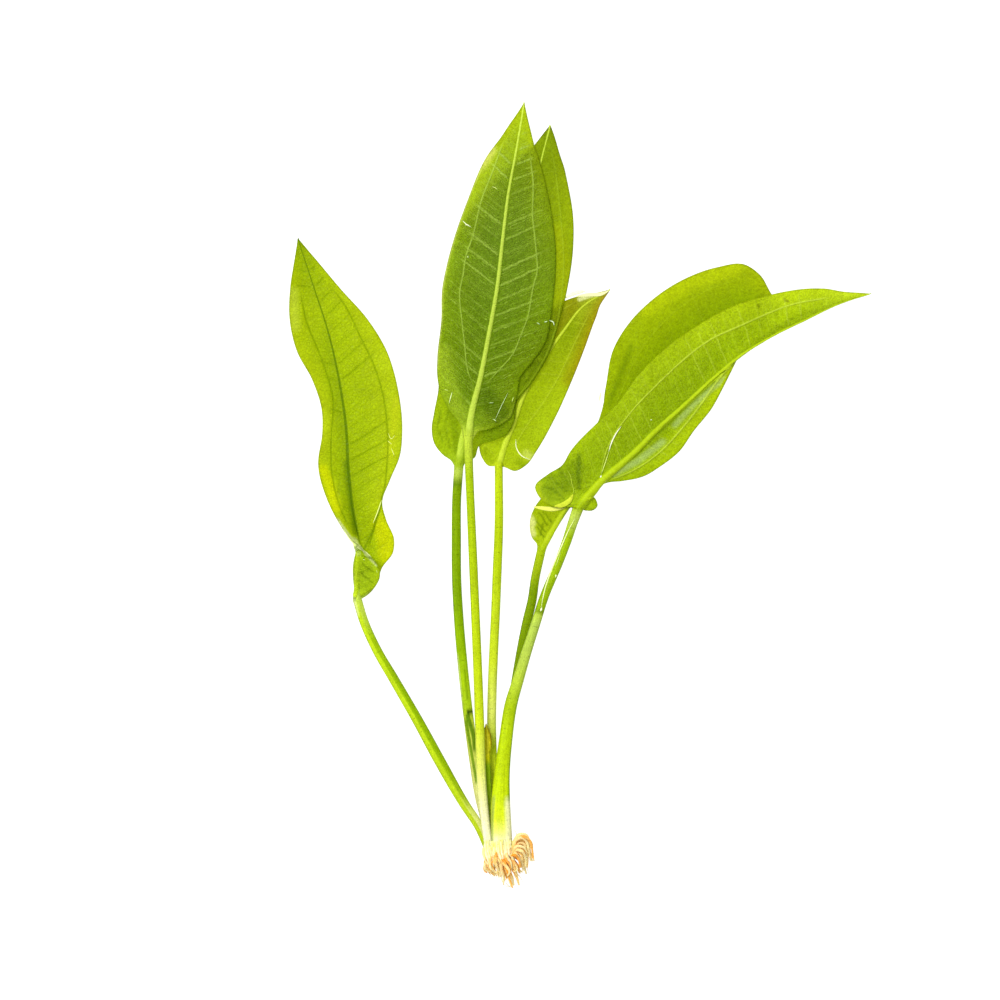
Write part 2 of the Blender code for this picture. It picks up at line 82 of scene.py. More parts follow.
# Each leaf: stalk stations (x, y, z, half width, half thickness) from the crown to the blade,
# midrib stations (x, y, z, keel radius) from there to the tip, and the two margins (x, y, z).
# keel is +1 where the underside of the leaf, with its raised midrib, faces up. bulge lifts the
# middle of the left and right half off the straight line, and lead (under 1) lets a margin run
# ahead of the midrib.
LEAVES = {
    "left_leaf": dict(
        keel=-1, bulge=(-0.9, 0.9), lead=(1.0, 1.0),
        stalk=((-28.6, -113.6, 4, 1.3, 1.3), (-31.8, -105.9, 4.4, 1.5, 1.5),
            (-36.2, -99.2, 4, 1.6, 1.6), (-44.5, -84.8, 3, 1.8, 1.75), (-51.5, -72, 2.3, 1.7, 1.7),
            (-58.9, -59.2, 1.8, 1.6, 1.6), (-64.5, -49.6, 1.5, 1.5, 1.5), (-68.8, -40, 1.5, 1.45, 1.45),
            (-70.7, -33.6, 1.7, 1.45, 1.45)),
        rib=((-70.7, -33.6, 1.7, 1.45), (-71, -24.6, 1.8, 1.4), (-70.4, -17, 1.7, 1.3),
            (-72.3, -3.2, 1.5, 1.15), (-73.6, 9.3, 1.4, 1.05), (-74.2, 20.8, 1.3, 0.95),
            (-76.2, 35.2, 1.1, 0.8), (-79.7, 51.2, 0.9, 0.6), (-84.8, 67.2, 0.8, 0.4),
            (-89.6, 81.6, 0.8, 0.25)),
        left=((-67.8, -31.4, 2.8), (-64.6, -28.8, 3.4), (-63.4, -25.6, 4), (-64.3, -22.4, 4.6),
            (-68.5, -18.2, 5.2), (-73, -14.1, 5), (-77.1, -8, 4.2), (-80.3, -1.6, 3.6), (-83.2, 9.6, 3),
            (-81.9, 20.2, 2.6), (-82.2, 27.8, 2.4), (-85.1, 36.8, 2.2), (-90.2, 46.4, 2.2),
            (-92.5, 57.6, 2), (-92.2, 66.2, 1.6), (-89.6, 81.6, 0.8)),
        right=((-67.8, -32.3, 1.6), (-64.3, -28.2, 1.4), (-63, -23.7, 1.3), (-59.2, -18.2, 1.6),
            (-58.9, -14.4, 2.2), (-61.4, -8, 3.2), (-62.7, -2.6, 3.8), (-60.2, 4.8, 3),
            (-57, 12.8, 2.6), (-56.3, 20.8, 2.8), (-57.6, 33.6, 3.2), (-61.4, 46.4, 3.2),
            (-67.2, 56, 2.6), (-76.2, 66.2, 1.8), (-83.8, 75.2, 1.2), (-89.6, 81.6, 0.8))),
    "front_centre_leaf": dict(
        keel=1, bulge=(0.12, 0.12), lead=(0.9, 0.9),
        stalk=((-28.5, -113.4, 6.9, 1.3, 1.3), (-29.9, -102.4, 6.9, 1.4, 1.4),
            (-30.9, -91.2, 6.8, 1.5, 1.5), (-31.4, -76.8, 6.6, 1.5, 1.5), (-32, -59.2, 5.4, 1.45, 1.45),
            (-32.8, -40, 4.5, 1.4, 1.4), (-33.9, -14.4, 4.2, 1.35, 1.35), (-34.6, 1.6, 4.3, 1.3, 1.3),
            (-35, 11.8, 4.7, 1.35, 1.35), (-35.2, 17.6, 4.95, 1.45, 1.4)),
        rib=((-35.2, 17.6, 4.95, 1.4), (-34.2, 25.6, 4.3, 1.2), (-31.4, 37.1, 3.7, 1),
            (-28.5, 51.8, 3.35, 0.85), (-25.9, 66.6, 3.15, 0.75), (-24.2, 81.3, 3, 0.65),
            (-22.4, 96, 2.85, 0.55), (-19.8, 110.4, 2.7, 0.4), (-17.3, 125.2, 2.5, 0.25)),
        left=((-37.8, 22.6, 4), (-41, 26.9, 3.4), (-43.8, 32, 3), (-45.1, 38.1, 2.9),
            (-45.1, 43.8, 2.9), (-43.8, 56, 2.8), (-43.5, 66.2, 2.8), (-42.2, 73, 2.8),
            (-40, 81.3, 2.8), (-35.4, 94.4, 2.8), (-29.4, 108.2, 2.7), (-23, 116.8, 2.6),
            (-17.3, 125.2, 2.5)),
        right=((-31.7, 20.5, 4), (-28.2, 21.1, 3.8), (-24.6, 22.6, 3.6), (-21.8, 24.6, 3.4),
            (-19.8, 30.4, 3.2), (-18.2, 38.1, 3), (-14.4, 42.9, 2.9), (-10.6, 48.6, 2.9),
            (-8.6, 57.6, 2.9), (-7.5, 66.6, 2.9), (-7, 76.2, 2.9), (-8.6, 91.2, 2.9),
            (-11.8, 105.3, 2.8), (-15, 115.2, 2.6), (-17.3, 125.2, 2.5))),
    "back_centre_leaf": dict(
        keel=1, bulge=(0.2, 0.2), lead=(0.9, 0.9),
        stalk=((-27.4, -113.4, 2, 1.25, 1.25), (-29.4, -105.6, 1.9, 1.35, 1.35),
            (-31.4, -97.6, 1.8, 1.45, 1.45), (-33.3, -84.8, 1.7, 1.6, 1.6),
            (-35.2, -70.4, 1.6, 1.6, 1.6), (-36.8, -56, 1.6, 1.6, 1.6), (-38.2, -40, 1.6, 1.55, 1.55),
            (-38.9, -27.2, 1.6, 1.5, 1.5), (-39, -14.4, 1.6, 1.5, 1.5), (-38.9, -1.6, 1.7, 1.45, 1.45),
            (-38.2, 9.3, 1.8, 1.5, 1.5)),
        rib=((-38.2, 9.3, 1.8, 1.5), (-37.1, 17.6, 1.9, 1.3), (-34.6, 27.2, 2, 1.1),
            (-30.1, 40, 2.1, 0.9), (-24, 59.2, 2.1, 0.75), (-19.2, 76.8, 2.1, 0.6),
            (-15.4, 92.8, 2.1, 0.5), (-11.8, 107.2, 2, 0.35), (-9, 118.1, 1.9, 0.25)),
        left=((-40.6, 10.9, 1.6), (-43.2, 12.8, 1.5), (-46.1, 16.6, 1.5), (-46.9, 20.8, 1.6),
            (-46.1, 26.6, 1.7), (-44.8, 33.6, 1.8), (-44.8, 43.2, 1.9), (-43.8, 56, 1.9),
            (-41.6, 70.4, 1.9), (-37.8, 84.8, 1.9), (-30.7, 95.7, 2), (-22.7, 104, 2), (-16, 110.4, 2),
            (-9, 118.1, 1.9)),
        right=((-35.8, 10.9, 1.8), (-33.3, 11.8, 1.9), (-31.7, 15.7, 2.2), (-26.6, 17.6, 2.8),
            (-22.7, 19.5, 2.9), (-20.5, 23.4, 2.8), (-19.5, 29.8, 2.4), (-15, 35.5, 2.2),
            (-9.3, 45.1, 2.1), (-5.8, 56, 2.1), (-3.5, 65.6, 2.1), (-1.6, 78.4, 2.1), (-1.6, 89.6, 2.1),
            (-3.5, 100.8, 2), (-5.8, 110.4, 2), (-9, 118.1, 1.9))),
    "right_centre_leaf": dict(
        keel=1, bulge=(0.2, 0.2), lead=(0.9, 0.9),
        stalk=((-24.6, -113.4, 1.8, 1.25, 1.25), (-25.8, -105.6, 1.7, 1.3, 1.3),
            (-26.9, -97.6, 1.6, 1.4, 1.4), (-27.4, -84.8, 1.5, 1.45, 1.45),
            (-27.7, -73.6, 1.4, 1.45, 1.45), (-27.5, -62.4, 1.4, 1.45, 1.45),
            (-27, -49.6, 1.4, 1.45, 1.45), (-26.4, -36.8, 1.4, 1.45, 1.45),
            (-25.9, -24, 1.4, 1.45, 1.45), (-25.4, -11.2, 1.4, 1.4, 1.4), (-25.4, 9.3, 1.5, 1.3, 1.3)),
        rib=((-25.4, 9.3, 1.5, 1.3), (-23.7, 15.4, 1.3, 1.15), (-21.1, 21.8, 1.1, 1),
            (-17.3, 32.3, 0.9, 0.85), (-12.5, 41, 0.8, 0.7), (-4.5, 52.8, 0.8, 0.5),
            (1.9, 60.8, 0.9, 0.35), (9.3, 65.3, 1.2, 0.25)),
        left=((-28.5, 9.3, 1.4), (-30.7, 11.8, 1.2), (-31.7, 15.4, 1.1), (-31, 20.8, 1),
            (-29.1, 25.6, 0.9), (-24.3, 38.4, 0.8), (-17.9, 49.6, 0.8), (-10.6, 58.2, 0.8),
            (-3.8, 62.4, 1), (2.2, 64.2, 1.2), (9.3, 65.3, 1.2)),
        right=((-22.7, 8.6, 1.3), (-20.5, 7.7, 1.1), (-16.6, 9.6, 0.9), (-13.1, 14.4, 0.8),
            (-7.7, 24, 0.8), (-1.9, 36.8, 0.8), (1.9, 46.4, 0.9), (5.4, 56, 1), (9.3, 65.3, 1.2))),
    "front_right_leaf": dict(
        keel=1, bulge=(0.3, 0.2), lead=(0.65, 0.8),
        stalk=((-24.6, -113.4, 7.2, 3.2, 1.5), (-24.6, -107.2, 7.1, 3.3, 1.5),
            (-24.8, -99.2, 6.7, 3.1, 1.5), (-24.5, -91.2, 6.2, 2.6, 1.5),
            (-23.2, -78.4, 5.6, 2.15, 1.55), (-21.3, -66.2, 5, 2, 1.5), (-19.2, -59.2, 4.8, 1.8, 1.5),
            (-16.3, -49.6, 4.5, 1.6, 1.45), (-13.4, -40.6, 3.8, 1.5, 1.4),
            (-11.2, -33.6, 3.2, 1.45, 1.4), (-5.9, -20.8, 2.8, 1.45, 1.4),
            (-3.5, -14.4, 2.8, 1.5, 1.45), (-1.6, -8.6, 3, 1.6, 1.55), (0, -4.2, 3.3, 1.75, 1.7)),
        rib=((0, -4.2, 3.3, 1.7), (7, 3.8, 3.2, 1.4), (17.6, 13.1, 3, 1.1), (25.6, 21.1, 2.8, 0.95),
            (33.9, 28.5, 2.7, 0.85), (42.9, 36.8, 2.6, 0.75), (51.8, 44.2, 2.5, 0.65),
            (61.4, 50.2, 2.4, 0.55), (73, 56, 2.4, 0.45), (84.5, 61.4, 2.2, 0.3), (92.5, 64, 2, 0.25)),
        left=((-4.5, -4, 3.4), (-9, -3.5, 3.1), (-12.2, -1, 2.8), (-13.8, 2.6, 2.6), (-9.6, 6.7, 2.6),
            (-5.1, 9.6, 2.6), (-2.6, 13.8, 2.6), (6.4, 23.4, 2.4), (12.5, 29.4, 2.2), (19.2, 38.4, 2.1),
            (27.2, 46.4, 2.1), (38.7, 54.7, 2.1), (50.2, 60.8, 2.1), (62.1, 64.3, 2.1), (73, 66.1, 2.1),
            (82.6, 65.9, 2), (92.5, 64, 2)),
        right=((2.6, -5, 2.8), (4.8, -4.9, 2.4), (6.2, -3.6, 2.2), (5.7, -1.4, 2.2), (4.4, 0.2, 2.2),
            (6, 2.6, 2.2), (8.8, 4.2, 2.2), (14.7, 4.6, 2.2), (20.8, 5.9, 2.1), (26.6, 9.3, 2),
            (32.3, 13.8, 1.9), (37.1, 20.5, 1.8), (42.9, 27.8, 1.8), (46.1, 33.6, 1.8), (49.3, 40, 1.9),
            (52.2, 45.4, 2), (57.3, 50.2, 2.1), (67.8, 56.6, 2.1), (80.6, 61.4, 2), (92.5, 64, 2))),
    "back_right_leaf": dict(
        keel=1, bulge=(0.2, 0.2), lead=(0.8, 0.9),
        stalk=((-22.2, -113.4, 3.2, 1.25, 1.25), (-22.7, -105.6, 2.6, 1.35, 1.35),
            (-23.2, -97.6, 1.9, 1.4, 1.4), (-23.4, -88, 1.5, 1.45, 1.45), (-22.7, -78.4, 1.4, 1.5, 1.5),
            (-19.8, -59.2, 1.4, 1.5, 1.5), (-16.2, -40, 1.4, 1.5, 1.5), (-14.7, -33.6, 1.4, 1.45, 1.45),
            (-13.8, -27.2, 1.4, 1.4, 1.4), (-11.8, -17.9, 1.5, 1.4, 1.4)),
        rib=((-11.8, -17.9, 1.5, 1.4), (-8, -11.2, 1.4, 1.3), (-3.8, -4.2, 1.3, 1.2), (3.8, 8, 1.2, 1),
            (15, 24, 1, 0.8), (27.8, 40, 0.8, 0.6), (40.6, 51.8, 0.8, 0.45), (53.4, 58.6, 0.8, 0.35),
            (65.6, 60.5, 0.8, 0.25)),
        left=((-13.1, -16, 1.6), (-14.7, -13.8, 1.6), (-15.5, -10.2, 1.5), (-15, -6.4, 1.4),
            (-13.8, -3.8, 1.4), (-9.6, 1.6, 1.2), (-1.9, 11.8, 1), (4.5, 19.5, 0.9), (7.7, 27.2, 0.8),
            (9, 35.2, 0.8), (11.2, 46.4, 0.8), (16.6, 55.4, 0.8), (22.4, 61.4, 0.8), (32.6, 68.5, 0.8),
            (44.5, 73, 0.9), (53.4, 73.9, 1), (58.2, 70.7, 1), (62.4, 64, 0.9), (65.6, 60.5, 0.8)),
        right=((-10.2, -17.3, 1.2), (-6.7, -10.6, 1), (-2.6, -4.2, 0.9), (2.2, 1.6, 0.9), (8, 6.7, 0.8),
            (19.8, 12.8, 0.8), (31, 22.4, 0.8), (39, 33.6, 0.8), (48.6, 45.8, 0.8), (59.8, 54.4, 0.8),
            (65.6, 60.5, 0.8))),
    "young_leaf": dict(
        keel=1, bulge=(0.1, 0.1), lead=(1.0, 1.0),
        stalk=((-26.8, -113.4, 4.8, 0.6, 0.6), (-27.8, -105.6, 4.5, 0.8, 0.8),
            (-28.5, -97.6, 4.5, 0.9, 0.9), (-28.7, -91.2, 4.6, 0.9, 0.9),
            (-29.1, -83.2, 4.7, 0.8, 0.7)),
        rib=((-29, -83.2, 4.7, 0.7), (-29, -80, 4.7, 0.55), (-29.1, -76.8, 4.7, 0.45),
            (-29.5, -73.1, 4.8, 0.3)),
        left=((-30.2, -81.9, 4.6), (-30.6, -79.7, 4.6), (-30.6, -77.4, 4.6), (-30.1, -74.9, 4.7),
            (-29.5, -73.1, 4.8)),
        right=((-28, -82.2, 4.6), (-27.7, -80, 4.6), (-27.8, -77.4, 4.6), (-28.6, -74.9, 4.7),
            (-29.5, -73.1, 4.8))),
}

# Roots cut short, each a line of points from the crown to its tip.
ROOTS = (
    ((-20.5, -114.2, 6), (-20.2, -110.7, 7.5), (-18.9, -108.6, 7.6), (-16.6, -108.8, 6.5),
     (-15.7, -111.4, 5.5), (-15.4, -114.2, 4.8), (-14.7, -117.1, 4.2)),
    ((-20.3, -114.9, 3.5), (-18.9, -111.7, 3.2), (-17.3, -110.7, 3), (-16.3, -113, 2.5),
     (-16.2, -116.2, 2), (-16.3, -119.4, 1.4)),
    ((-20.3, -115.8, 5), (-19, -113.6, 5.2), (-17.8, -114.6, 4.6), (-17.6, -117.4, 3.6),
     (-16.6, -121.3, 2.6)),
    ((-21.6, -117.8, 6.5), (-20.5, -120, 6), (-19.5, -122.6, 5), (-18.9, -124.8, 4.4)),
    ((-22.7, -118.2, 3), (-22.2, -120.3, 2.6), (-21.1, -122.9, 2), (-20.6, -125.1, 1.4)),
    ((-24, -118.4, 7), (-24, -120.3, 6.6), (-23.7, -122.2, 5.8), (-23.4, -123.2, 5)),
    ((-25.1, -118.2, 4.2), (-25.4, -120, 3.6), (-25, -121.6, 2.8)),
    ((-27.6, -117.6, 6), (-28.6, -118.4, 6.2), (-28.3, -119.7, 5.6), (-27.5, -121, 4.8),
     (-26.7, -121.8, 4.2)),
    ((-26.4, -117.9, 2.6), (-26.9, -119.4, 2), (-26.6, -121.3, 1.2)),
    ((-28, -117.6, 3.4), (-29, -118.2, 2.7), (-29.2, -119.5, 2), (-28.5, -120.8, 1.3)),
)


def rgb(r, g, b):
    """A colour given as 0-255 display values, as linear light."""
    c = np.array((r, g, b), float) / 255
    return np.where(c <= 0.04045, c / 12.92, ((c + 0.055) / 1.055) ** 2.4)


def same(size, soft, tone, strength, limits, *paths):
    """Marks that differ only in their line of points."""
    return [(path, size, soft, tone, strength, limits) for path in paths]


# What each leaf looks like. Optional keys take their default in leaf_material, or in leaf_grid for tip.
# stalk: colours by millimetres from the crown. inner, outer: colours of the blade's middle and of its
# margin, by share of its length. veins: the main side vein of the left and of the right half, with
# main its strength. cross: spacing, rise and strength of the cross veins, which fade by beyond outside
# the main side vein. wave: height, length and lift of the margin's waves. pale: 1 where the veins are
# paler than the blade and -1 where they are darker. clear: share of the light let through, and glow
# its brightness. base_firm, stalk_firm: how solid the stalk is at the crown and higher up. ridge,
# ribbed, rib_from: width, strength and start of the midrib's colour. wide: width of the cross veins.
# fine, ladder: spacing and strength of the finest ones. net, cells: strength of the grain and of the
# net between the veins. border: darkness of the margin. tip: millimetres by which the tip is drawn
# out, and how far it is pinched. marks: patches of another colour, among them painted highlights,
# painted sheen and painted shade, each (points, half width, softness, colour, strength, limits).
# A limit (key, low, high[, blur]) keeps a mark to where that value of leaf_grid lies between low
# and high, and a mark without points covers all of it.
LOOKS = {
    "left_leaf": dict(
        stalk=((0, (252, 248, 206)), (8, (248, 248, 170)), (14, (238, 245, 130)), (20, (212, 230, 50)),
            (28, (186, 214, 16)), (40, (158, 192, 4)), (78, (164, 196, 8)), (86, (196, 218, 70)),
            (92, (200, 222, 80))),
        inner=((0, (184, 208, 30)), (0.12, (176, 200, 4)), (0.3, (172, 196, 6)), (0.6, (176, 199, 8)),
            (0.8, (176, 198, 8)), (0.93, (160, 184, 4)), (1, (150, 176, 4))),
        outer=((0, (184, 207, 12)), (0.2, (190, 210, 12)), (0.5, (194, 214, 22)), (0.8, (184, 204, 10)),
            (0.93, (172, 194, 6)), (1, (150, 176, 4))),
        veins=(((-72.3, -11.2), (-75.4, -5.4), (-78.6, 6.4), (-79, 17.6), (-78.4, 30.4), (-81.9, 43.2),
            (-87, 56), (-89, 65.6)),
            ((-67.8, -19.2), (-65, -10.2), (-62.1, 1), (-61.1, 9.6), (-61, 22.4), (-62.7, 33.6),
            (-65.9, 43.2), (-69.4, 50.2), (-74.6, 60.8), (-79.4, 67.2))),
        vein=(112, 144, 0), rib=(84, 118, 0), cross=(5.2, -0.5, 1.0), wave=(0.5, 26, 0.4), pale=-1.0,
        main=0.75, ridge=0.3, ribbed=0.85, clear=0.72, tip=(0.9, 0.0), net=1.7, cells=0.2,
        rib_from=0.13,
        marks=(
            (((-79.6, 50), (-76.8, 35), (-74.6, 20), (-73, 2), (-72, -9)), 0.2, 4.6, (130, 160, 0),
             0.36, (("v", -1, -0.005),)),
            (((-73.8, 10), (-72.8, 2), (-71, -12)), 0.7, 1.3, (98, 134, 0), 0.6, (("v", -1, -0.005),)),
            # painted highlight: a bright yellow band along the left margin
            (((-81.6, 8), (-79.2, 2), (-77.4, -4)), 0.7, 1.7, (224, 232, 6), 0.8, (("v", -1, -0.4),)),
            (((-63.4, -9.6), (-62, -14), (-61.4, -19)), 1.2, 2.4, (220, 226, 4), 0.75,
             (("v", 0.2, 1),)),
            # painted shade down the stalk's right flank and painted light down its left flank
            ((), 0, 1, (136, 172, 0), 0.75,
             (("run", 20, 62, 9), ("v", 0.4, 1, 0.45), ("stalk", 0.9, 1))),
            ((), 0, 1, (218, 236, 60), 0.5,
             (("run", 14, 62, 6), ("v", -1, -0.5, 0.5), ("stalk", 0.9, 1))),
            (((-91.2, 65), (-91, 60), (-90.6, 54)), 0.1, 2.6, (214, 230, 70), 0.5, (("v", -1, 0),)),
            # painted highlight along the right margin, where its wrinkles catch the light
            (((-58.4, 30), (-59, 22), (-60.4, 12)), 0.1, 2.2, (216, 228, 30), 0.6, (("v", 0.4, 1),)),
            (((-58.9, -12), (-58.6, -20)), 0.6, 2.0, (216, 226, 6), 0.6, (("v", 0.3, 1),)),
            ((), 0, 1, (204, 230, 30), 1, (("u", 0, 0.17), ("v", -1, -0.06))),
            (((-77.1, -8), (-73, -13.8), (-68.5, -18.2), (-64.5, -22.4)), 0.2, 0.4, (236, 246, 176),
             0.8, (("v", -1, -0.5), ("u", 0, 0.4))),
            (((-72, -15.2), (-70.8, -18.6)), 0.9, 0.8, (232, 244, 150), 0.8,
             (("v", -1, -0.1), ("u", 0, 0.3))),
            (((-72.2, -15), (-72.5, -24), (-72.2, -34), (-71.4, -38)), 0.7, 1.0, (226, 240, 140), 0.95,
             (("u", 0, 0.2),)),
            (((-68.5, -20.3),), 0.15, 0.25, (84, 104, 0), 1, (("v", -1, 0),)),
            (((-63, -2.9), (-66, -12), (-68.5, -17.4)), 0.15, 0.4, (116, 148, 0), 0.7,
             (("v", 0.05, 1),)),
            (((-62.7, -23.5),), 0.3, 0.5, (150, 136, 30), 0.7, ()),
            # painted shade: dark lines in the creases near the twisted base
            *same(0.1, 0.3, (128, 156, 0), 0.7, (("u", 0, 0.2),), ((-69, -22), (-65.6, -24.6)),
                ((-69.4, -25), (-66, -27.8)), ((-69, -19.4), (-65.8, -20.2), (-63.4, -23))))),
    "front_centre_leaf": dict(
        stalk=((0, (255, 252, 200)), (12, (254, 252, 190)), (26, (240, 248, 110)), (40, (222, 240, 36)),
            (60, (210, 232, 22)), (95, (190, 216, 12)), (120, (184, 212, 16)), (126, (204, 226, 60)),
            (133, (206, 228, 70))),
        # the middle of the blade is darker than its margin: partly the leaf's own deeper green, partly
        # painted shade where the leaf beneath shows through
        inner=((0, (184, 212, 40)), (0.12, (140, 172, 12)), (0.3, (140, 172, 24)),
            (0.6, (144, 176, 40)), (0.85, (160, 186, 22)), (1, (178, 198, 16))),
        outer=((0, (170, 198, 8)), (0.2, (160, 190, 14)), (0.5, (156, 186, 26)), (0.8, (172, 194, 18)),
            (1, (180, 200, 18))),
        veins=(((-33.3, 34.6), (-35.3, 39.7), (-36.2, 47.4), (-37.2, 56), (-37.8, 65.6), (-36.8, 70.4),
            (-35.8, 76.8), (-33.9, 82.2), (-32.3, 88.6), (-31.4, 92.8), (-27.2, 104), (-23.7, 113.6)),
            ((-29.8, 34.9), (-25.9, 39.4), (-21.1, 44.8), (-18.2, 51.5), (-16, 57.3), (-15, 63),
            (-14.1, 67.8), (-13.1, 71.4), (-13.3, 76.8), (-13.9, 83.2), (-14.6, 90.2), (-14.4, 96),
            (-14.4, 100.8), (-15, 105.6), (-15.4, 109.8))),
        vein=(176, 204, 86), rib=(204, 226, 84), cross=(4.9, -0.6, 1.15), wave=(0.12, 22, 0.0),
        border=0.34, base_firm=0.85, stalk_firm=0.4, ridge=0.6, ribbed=0.85, clear=0.76, main=0.8,
        tip=(0.8, -0.07), wide=1.8, net=1.9, cells=0.2, fine=0.78, ladder=0.7,
        marks=(
            (((-43.6, 45), (-42.6, 38), (-40.4, 31), (-38, 26)), 0.6, 4.6, (206, 228, 60), 0.5,
             (("v", -1, -0.1),)),
            (((-43.8, 75.2), (-39.4, 89.6), (-34.6, 100.8), (-28.2, 110.4)), 0.9, 2.0, (224, 228, 110),
             0.7, (("v", -1, 0), ("u", 0.79, 1, 0.05))),
            ((), 0, 1, (224, 236, 110), 0.75, (("rim", 0, 0.45), ("v", -1, 0), ("u", 0.2, 0.75))),
            (((-24.6, 23.4), (-21.4, 25.4), (-19.4, 30)), 0.5, 0.9, (190, 214, 60), 0.5,
             (("v", 0.6, 1),)),
            (((-31, 33), (-27, 28), (-24, 25)), 1.5, 3, (112, 144, 6), 0.6, (("v", 0.1, 0.9),)))),
    "back_centre_leaf": dict(
        stalk=((0, (252, 250, 200)), (18, (248, 248, 160)), (30, (240, 246, 110)), (42, (226, 240, 70)),
            (45, (190, 222, 30)), (54, (186, 220, 10)), (62, (172, 210, 6)), (80, (144, 184, 2)),
            (116, (142, 178, 2)), (118.5, (104, 142, 4)), (120, (196, 220, 70)), (122, (206, 228, 96)),
            (123.5, (170, 200, 30))),
        inner=((0, (176, 204, 16)), (0.2, (150, 176, 8)), (0.6, (140, 164, 8)), (1, (134, 158, 8))),
        outer=((0, (172, 200, 14)), (0.3, (152, 176, 10)), (0.75, (156, 178, 12)), (0.9, (146, 168, 8)),
            (1, (128, 150, 10))),
        veins=(((-39, 22), (-40.5, 34), (-40, 50), (-37.5, 68), (-33, 84), (-25, 96), (-16, 106)),
            ((-31.4, 20.8), (-18.6, 28.8), (-10.6, 40), (-6.4, 56), (-4.6, 72), (-5.4, 88), (-7, 102.4),
            (-8, 110.4))),
        vein=(160, 188, 40), rib=(200, 224, 70), cross=(5.8, -0.5, 0.5), wave=(0.1, 30, 0.0), main=0.45,
        border=0.34, tip=(0.6, 0.08), net=1.4,
        marks=(
            (((-7, 84), (-4, 70), (-6, 56)), 1.2, 2.6, (176, 190, 8), 0.5, (("v", 0.4, 1),)),
            (((-9, 118.1),), 0.4, 1.4, (110, 120, 40), 0.7, ()),
            (((-44.2, 27), (-45.2, 22), (-43.4, 17)), 0.1, 0.3, (112, 142, 0), 0.7, (("u", 0, 0.3),)),
            (((-41.6, 27), (-42.4, 21), (-41, 15)), 0.1, 0.3, (112, 142, 0), 0.6, (("u", 0, 0.3),)),
            (((-41, 30), (-39.6, 22), (-38.6, 14)), 0.6, 1.2, (112, 142, 0), 0.5, (("v", -1, 0),)),
            (((-38.7, -52), (-37.9, -60), (-37.2, -68)), 0.25, 0.35, (226, 242, 140), 0.75, ()),
            (((-36.4, -56), (-35.4, -66)), 0.15, 0.35, (120, 160, 0), 0.6, ()),
            (((-36.0, -71.6), (-34.9, -78), (-33.7, -85), (-32.5, -92)), 0.3, 0.3, (104, 150, 0), 0.95,
             ()),
            (((-35.3, -71), (-34.2, -74.5), (-33.3, -77.5), (-33, -82)), 0.5, 0.35, (88, 136, 6), 0.95,
             ()),
            (((-37.1, -68.5), (-35.6, -69.2), (-34.2, -69.6)), 0.2, 0.2, (34, 60, 10), 1, ()),
            (((-34.5, -69.5), (-33.6, -70)), 0.45, 0.3, (34, 60, 10), 1, ()))),
    "right_centre_leaf": dict(
        stalk=((0, (252, 250, 190)), (12, (244, 246, 110)), (22, (218, 234, 40)), (33, (214, 234, 30)),
            (44, (246, 254, 120)), (60, (224, 242, 44)), (90, (196, 220, 12)), (122, (208, 228, 24))),
        inner=((0, (186, 208, 20)), (0.2, (166, 190, 10)), (0.5, (164, 186, 10)), (0.75, (146, 168, 4)),
            (1, (176, 184, 40))),
        outer=((0, (180, 202, 20)), (0.3, (180, 204, 20)), (0.55, (176, 196, 16)),
            (0.8, (160, 176, 10)), (1, (190, 184, 50))),
        veins=(((-28.6, 18), (-24, 33), (-18, 46), (-10, 56), (0, 62.4)),
            ((-21.1, 14.4), (-16.3, 22.4), (-10.6, 30.4), (-5.1, 40), (-0.3, 50.2), (3.8, 58.6))),
        vein=(200, 218, 60), rib=(206, 224, 60), cross=(5, -0.5, 0.5), wave=(0.3, 24, 0.4), main=0.4,
        tip=(1.3, 0.1), net=1.7, base_firm=0.7, stalk_firm=0.4,
        marks=(
            (((8.4, 63), (4.6, 55.4), (1.2, 46), (-2.4, 37)), 0.6, 3.6, (160, 152, 6), 0.6,
             (("v", 0.3, 1),)),
            (((8.8, 63.6), (5.4, 56), (2.2, 47.4), (-0.6, 40)), 0.2, 1.2, (192, 154, 24), 0.3,
             (("v", 0.5, 1),)),
            (((-1.9, 60.6), (-3.6, 56), (-7, 50)), 1.0, 3.0, (146, 146, 8), 0.65, (("v", -1, -0.1),)),
            (((0.5, 62.8), (4.6, 64.2), (9.3, 65.2)), 0.4, 0.6, (236, 240, 170), 0.85,
             (("v", -1, 0.2),)),
            (((9.2, 65.2),), 0.3, 0.8, (120, 90, 30), 0.8, ()),
            (((-16.6, 13.2), (-14.6, 11.8)), 0.4, 1.6, (230, 240, 120), 0.5, (("v", 0.3, 1),)),
            (((-29.6, 14), (-28, 11)), 0.5, 1.5, (150, 176, 0), 0.5, (("v", -1, -0.2),)),
            (((-19, 10.4), (-17, 9.4)), 0.4, 1.2, (140, 166, 0), 0.6, (("v", 0.2, 1),)))),
    "front_right_leaf": dict(
        stalk=((0, (252, 236, 190)), (2.5, (250, 246, 190)), (6, (238, 246, 110)), (10, (218, 234, 28)),
            (18, (200, 224, 8)), (36, (198, 224, 8)), (46, (190, 218, 16)), (54, (198, 222, 60)),
            (62, (198, 222, 84)), (74, (196, 222, 88)), (76.4, (196, 220, 76)), (77.2, (118, 146, 2)),
            (78.4, (156, 190, 4)), (90, (170, 202, 6)), (104, (172, 204, 8)), (107.5, (196, 220, 80)),
            (111, (204, 226, 90)), (113, (172, 200, 14))),
        inner=((0, (170, 196, 10)), (0.15, (158, 186, 0)), (0.5, (160, 188, 0)), (0.8, (172, 198, 4)),
            (1, (190, 212, 30))),
        outer=((0, (160, 188, 2)), (0.3, (180, 204, 10)), (0.6, (190, 212, 12)), (0.85, (190, 212, 20)),
            (1, (196, 216, 40))),
